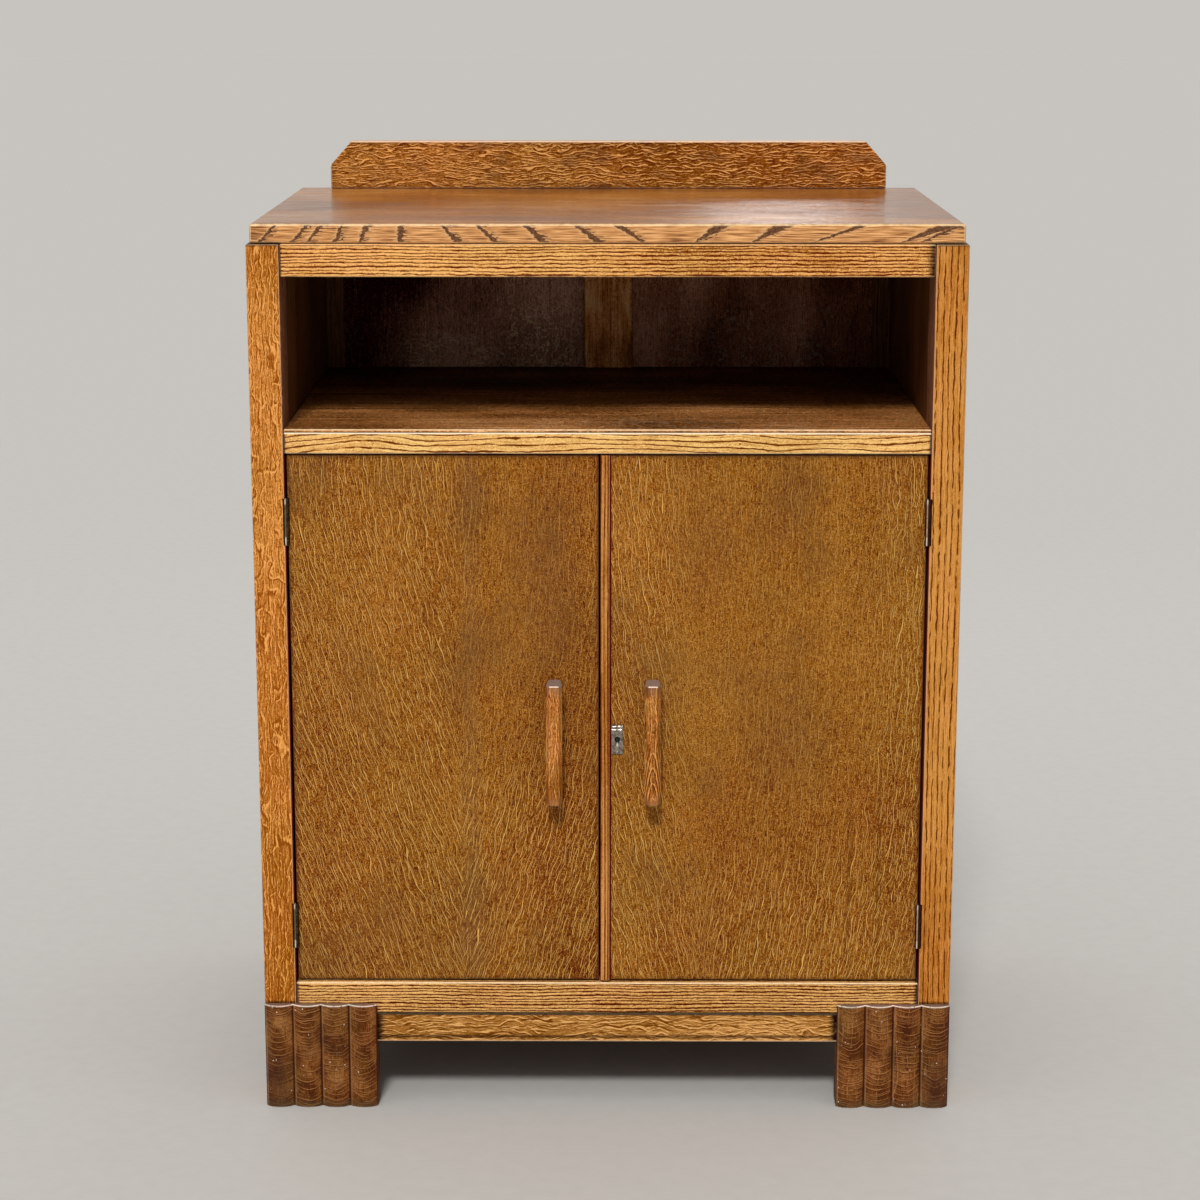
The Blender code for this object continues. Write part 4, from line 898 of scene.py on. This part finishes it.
hingeX = 0.34475  # from the middle to the hinge pins
hingeHeights = [
    [corner.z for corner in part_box(f"hinge_frame_leaf_{level}_left")] for level in ("upper", "lower")
]
finishes = {name: makeMetal("worn_" + name, look) for name, look in metals.items()}
finishes["hinge"] = makeMetal("hinge_metal", bronzed, paintedBarrelHighlight)
plate = dict(metals["nickel"], clean=(164, 154, 140))
finishes["plate"] = makeMetal("lock_plate_metal", plate, paintedKeyholeShade)
metalParts = {"lock_plate": "plate"}
for node in ("lock_case", "lock_bolt", "strike_plate", "bolt_plate", "bolt_keeper", "door_bolt"):
    metalParts[node] = "brass"
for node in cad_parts:
    if node.startswith("hinge_"):
        metalParts[node] = "hinge"
for node, finish in metalParts.items():
    dress(node, finishes[finish], rounding["metal"])


def addScrew(shape, place, facing, radius, turn):
    # a slotted head: a thin washer edge, with two halves that stand on it either side of the slot
    up = Vector(facing)
    across = up.orthogonal().normalized()
    beside = up.cross(across)
    spin = math.radians(turn)
    right = across * math.cos(spin) + beside * math.sin(spin)
    ahead = up.cross(right)

    def ring(outline, height):
        return [shape.verts.new(Vector(place) + right * x + ahead * y + up * height) for x, y in outline]

    def prism(outline, low, high, shrink):
        bottom = ring(outline, low)
        middleX = sum(x for x, y in outline) / len(outline)
        middleY = sum(y for x, y in outline) / len(outline)
        inset = [(middleX + (x - middleX) * shrink, middleY + (y - middleY) * shrink) for x, y in outline]
        top = ring(inset, high)
        shape.faces.new(top)
        shape.faces.new(bottom[::-1])
        for at in range(len(outline)):
            after = (at + 1) % len(outline)
            shape.faces.new((bottom[at], bottom[after], top[after], top[at]))

    def onCircle(reach, angles):
        return [(reach * math.cos(angle), reach * math.sin(angle)) for angle in angles]

    thickness, slot, reach = radius * 0.1, radius * 0.14, radius * 0.94
    whole = [2 * math.pi * at / 24 for at in range(24)]
    prism(onCircle(radius, whole), -thickness, thickness * 0.5, 0.96)
    start = math.asin(slot / reach)
    for flip in (0, math.pi):
        arc = [flip + start + (math.pi - 2 * start) * at / 12 for at in range(13)]
        prism(onCircle(reach, arc), thickness * 0.45, thickness * 2.2, 0.9)


def makePiece(name, shape, material):
    mesh = bpy.data.meshes.new(name)
    shape.to_mesh(mesh)
    shape.free()
    mesh.materials.append(material)
    piece = bpy.data.objects.new(name, mesh)
    bpy.context.scene.collection.objects.link(piece)
    return piece


def rideOn(piece, body):
    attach(piece, body)


def screws(name, body, finish, places, facing, radius):
    shape = bmesh.new()
    for at, place in enumerate(places):
        addScrew(shape, place, facing, radius, turn=20 + at * 67)
    rideOn(makePiece(name, shape, finishes[finish]), body)


def ends(low, high, inset):
    # the two places this far in from a length's ends
    return low + inset, high - inset


# screw heads, each set flush on what it holds
hingeScrews = {
    "radius": 0.0026,
    "heights": (-0.018, 0.0, 0.018),
    "depths": (0.0148, 0.0203, 0.0148),  # behind the posts' front faces
    "leafFace": 0.0014,
}
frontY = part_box("front_post_right")[0].y
for side, sign in (("left", -1), ("right", 1)):
    for kind, way, body in (("frame", 1, "carcass"), ("door", -1, side + "_door")):
        places = []
        for level in ("upper", "lower"):
            low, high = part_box(f"hinge_{kind}_leaf_{level}_{side}")
            for rise, depth in zip(hingeScrews["heights"], hingeScrews["depths"]):
                x = sign * (hingeX + way * hingeScrews["leafFace"])
                places.append((x, frontY + depth, (low.z + high.z) / 2 + rise))
        name, facing = f"hinge_screws_{kind}_{side}", (-sign * way, 0, 0)
        screws(name, body, "steel", places, facing, hingeScrews["radius"])

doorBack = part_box("door_left")[1].y
low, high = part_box("lock_case")
places = [(x, high.y, z) for x in ends(low.x, high.x, 0.005) for z in ends(low.z, high.z, 0.005)]
screws("lock_case_screws", "right_door", "steel", places, facing=(0, 1, 0), radius=0.0024)
low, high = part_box("lock_plate")
middleX = (low.x + high.x) / 2
places = [(middleX, low.y, z) for z in ends(low.z, high.z, 0.0022)]
screws("lock_plate_pins", "right_door", "nickel", places, facing=(0, -1, 0), radius=0.0009)


def addBar(shape, place, length, radius):
    # a half-round bar that lies across, its round side forwards
    x, y, z = place
    angles = [math.pi * at / 8 for at in range(9)]
    outline = [(y - radius * math.sin(angle), z + radius * math.cos(angle)) for angle in angles]
    left, right = (
        [shape.verts.new((end, *corner)) for corner in outline]
        for end in (x - length / 2, x + length / 2)
    )
    shape.faces.new(left)
    shape.faces.new(right[::-1])
    for at in range(len(angles)):
        after = (at + 1) % len(angles)
        shape.faces.new((left[at], right[at], right[after], left[after]))


def addToLock(name, shape, material):
    bmesh.ops.recalc_face_normals(shape, faces=shape.faces)
    rideOn(makePiece(name, shape, material), "right_door")


# two bars across the plate's top, and behind the keyhole a dark sheet, painted shade that blackens the
# hole, pale in its lower part
lockLook = {
    "barLength": 0.0112,
    "barRadius": 0.0011,
    "bars": (0.0022, 0.0058),  # below the plate's top edge
    "shadeSheet": (0.0052, 0.0001, 0.0128),
    "shadeSheetDrop": 0.003,  # below the plate's middle
    "shadeSheetGap": 0.00015,  # behind the plate
    "shades": ((10, 8, 6), (210, 204, 190)),
}
shape = bmesh.new()
for drop in lockLook["bars"]:
    addBar(shape, (middleX, low.y, high.z - drop), lockLook["barLength"], lockLook["barRadius"])
addToLock("lock_plate_bars", shape, finishes["nickel"])
shadeSheet, shader, wire = startMaterial("keyhole_painted_shade")
middleZ = (low.z + high.z) / 2
lowPart = (wire.node("TexCoord", output=3).part(2) - middleZ).fade(-0.0056, -0.003)
plug(lowPart.between(*lockLook["shades"]), shader, "Base Color")
shader.inputs["Roughness"].default_value = 0.5
shape = bmesh.new()
width, thickness, height = lockLook["shadeSheet"]
bmesh.ops.create_cube(shape, size=1.0)
bmesh.ops.scale(shape, verts=shape.verts, vec=(width, thickness, height))
place = (middleX, high.y + lockLook["shadeSheetGap"], middleZ - lockLook["shadeSheetDrop"])
bmesh.ops.translate(shape, verts=shape.verts, vec=place)
addToLock("keyhole_shade_sheet", shape, shadeSheet)

low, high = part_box("strike_plate")
places = [(high.x, (low.y + high.y) / 2, z) for z in ends(low.z, high.z, 0.0045)]
screws("strike_screws", "left_door", "brass", places, facing=(1, 0, 0), radius=0.0022)
low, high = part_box("bolt_plate")
places = [(x, low.y + 0.0014, z) for x in ends(low.x, high.x, 0.0022) for z in ends(low.z, high.z, 0.003)]
screws("bolt_plate_screws", "left_door", "brass", places, facing=(0, 1, 0), radius=0.0014)
low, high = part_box("bolt_keeper")
places = [(x, low.y + 0.0115, low.z) for x in ends(low.x, high.x, 0.003)]
screws("bolt_keeper_screws", "carcass", "brass", places, facing=(0, 0, -1), radius=0.0018)
for side in ("left", "right"):
    low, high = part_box("handle_" + side)
    places = [((low.x + high.x) / 2, doorBack, (low.z + high.z) / 2 + rise) for rise in (-0.042, 0.042)]
    screws("handle_screws_" + side, side + "_door", "steel", places, facing=(0, 1, 0), radius=0.0036)
for side, sign in (("left", -1), ("right", 1)):
    places = []
    for board in ("compartment", "cupboard_shelf", "floor"):
        low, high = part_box(f"{board}_bearer_{side}")
        x = high.x if side == "left" else low.x
        places += [(x, y, (low.z + high.z) / 2) for y in (-0.14, 0.02, 0.18)]
    screws("bearer_screws_" + side, "carcass", "steel", places, facing=(-sign, 0, 0), radius=0.0034)
print("metal done")

# floor, light and camera
stage = {
    "floorRadius": 40.0,
    "floorShades": ((190, 187, 182), (182, 179, 174)),
    "backShade": (199, 196, 191),
    "low": 0.1,
    "high": 0.86,
}
material, shader, wire = startMaterial("floor_paper")
mottle = grain(wire.node("TexCoord", output=3), (0.02, 0.02, 0.02), 0.0, 3.0)
plug(mottle.between(*stage["floorShades"]), shader, "Base Color")
shader.inputs["Roughness"].default_value = 0.8
shape = bmesh.new()
bmesh.ops.create_circle(shape, cap_ends=True, segments=96, radius=stage["floorRadius"])
floor = makePiece("floor", shape, material)

world = bpy.data.worlds.new("studio")
bpy.context.scene.world = world
world.use_nodes = True
tree = world.node_tree
tree.nodes.clear()
wire = Wire(tree)
seen = wire.node("LightPath", output=0)  # by the camera, in a gloss or through glass
for at in (3, 6):
    seen = seen.higher(wire.node("LightPath", output=at))
height = wire.node("TexCoord", output=0).part(2)
strength = stage["low"] + height.ease(0.0, 0.85) * (stage["high"] - stage["low"])
plainLight = wire.node("Background", {}, {"Color": (1, 1, 1, 1), "Strength": strength})
backdrop = wire.node("Background", {}, {"Color": tint(*stage["backShade"]), "Strength": 1.0})
mixed = wire.node("MixShader", {}, {0: seen, 1: plainLight, 2: backdrop})
out = tree.nodes.new("ShaderNodeOutputWorld")
tree.links.new(mixed.socket, out.inputs["Surface"])

keyLight = {"elevation": 46.0, "turn": -6.0, "distance": 4.2, "spread": 10.0, "strength": 2.02}
rearGlow = {"place": (0.363, 2.7, 1.86), "aim": (0.2, 0.0, 0.98), "size": 0.3, "power": 2.6}


def addLamp(name, lamp, place, away):
    # a lamp that shines along the opposite of away
    made = bpy.data.objects.new(name, lamp)
    made.location = place
    made.rotation_mode = "QUATERNION"
    made.rotation_quaternion = away.to_track_quat("Z", "Y")
    bpy.context.scene.collection.objects.link(made)
    made.visible_camera = False


rise, turn = math.radians(keyLight["elevation"]), math.radians(keyLight["turn"])
towards = Vector((math.sin(turn) * math.cos(rise), -math.cos(turn) * math.cos(rise), math.sin(rise)))
lamp = bpy.data.lights.new("key", "SUN")
lamp.angle = math.radians(keyLight["spread"])
lamp.energy = keyLight["strength"]
addLamp("key", lamp, Vector((0, 0, 0.5)) + towards * keyLight["distance"], towards)
lamp = bpy.data.lights.new("rear_glow", "AREA")
lamp.size = rearGlow["size"]
lamp.energy = rearGlow["power"]
addLamp("rear_glow", lamp, rearGlow["place"], Vector(rearGlow["place"]) - Vector(rearGlow["aim"]))

view = {
    "place": (0.00708, -3.18196, 1.24433),
    "pitchDown": 11.984,
    "turn": 0.289,
    "lens": 83.81,
    "shiftY": -0.03,
}
cameraData = bpy.data.cameras.new("camera")
cameraData.lens = view["lens"]
cameraData.sensor_width = 36.0
cameraData.shift_y = view["shiftY"]
camera = bpy.data.objects.new("camera", cameraData)
camera.location = view["place"]
camera.rotation_euler = (math.radians(90 - view["pitchDown"]), 0, math.radians(view["turn"]))
bpy.context.scene.collection.objects.link(camera)
bpy.context.scene.camera = camera
bpy.context.scene.view_settings.view_transform = "Standard"
print("stage, light and camera done")
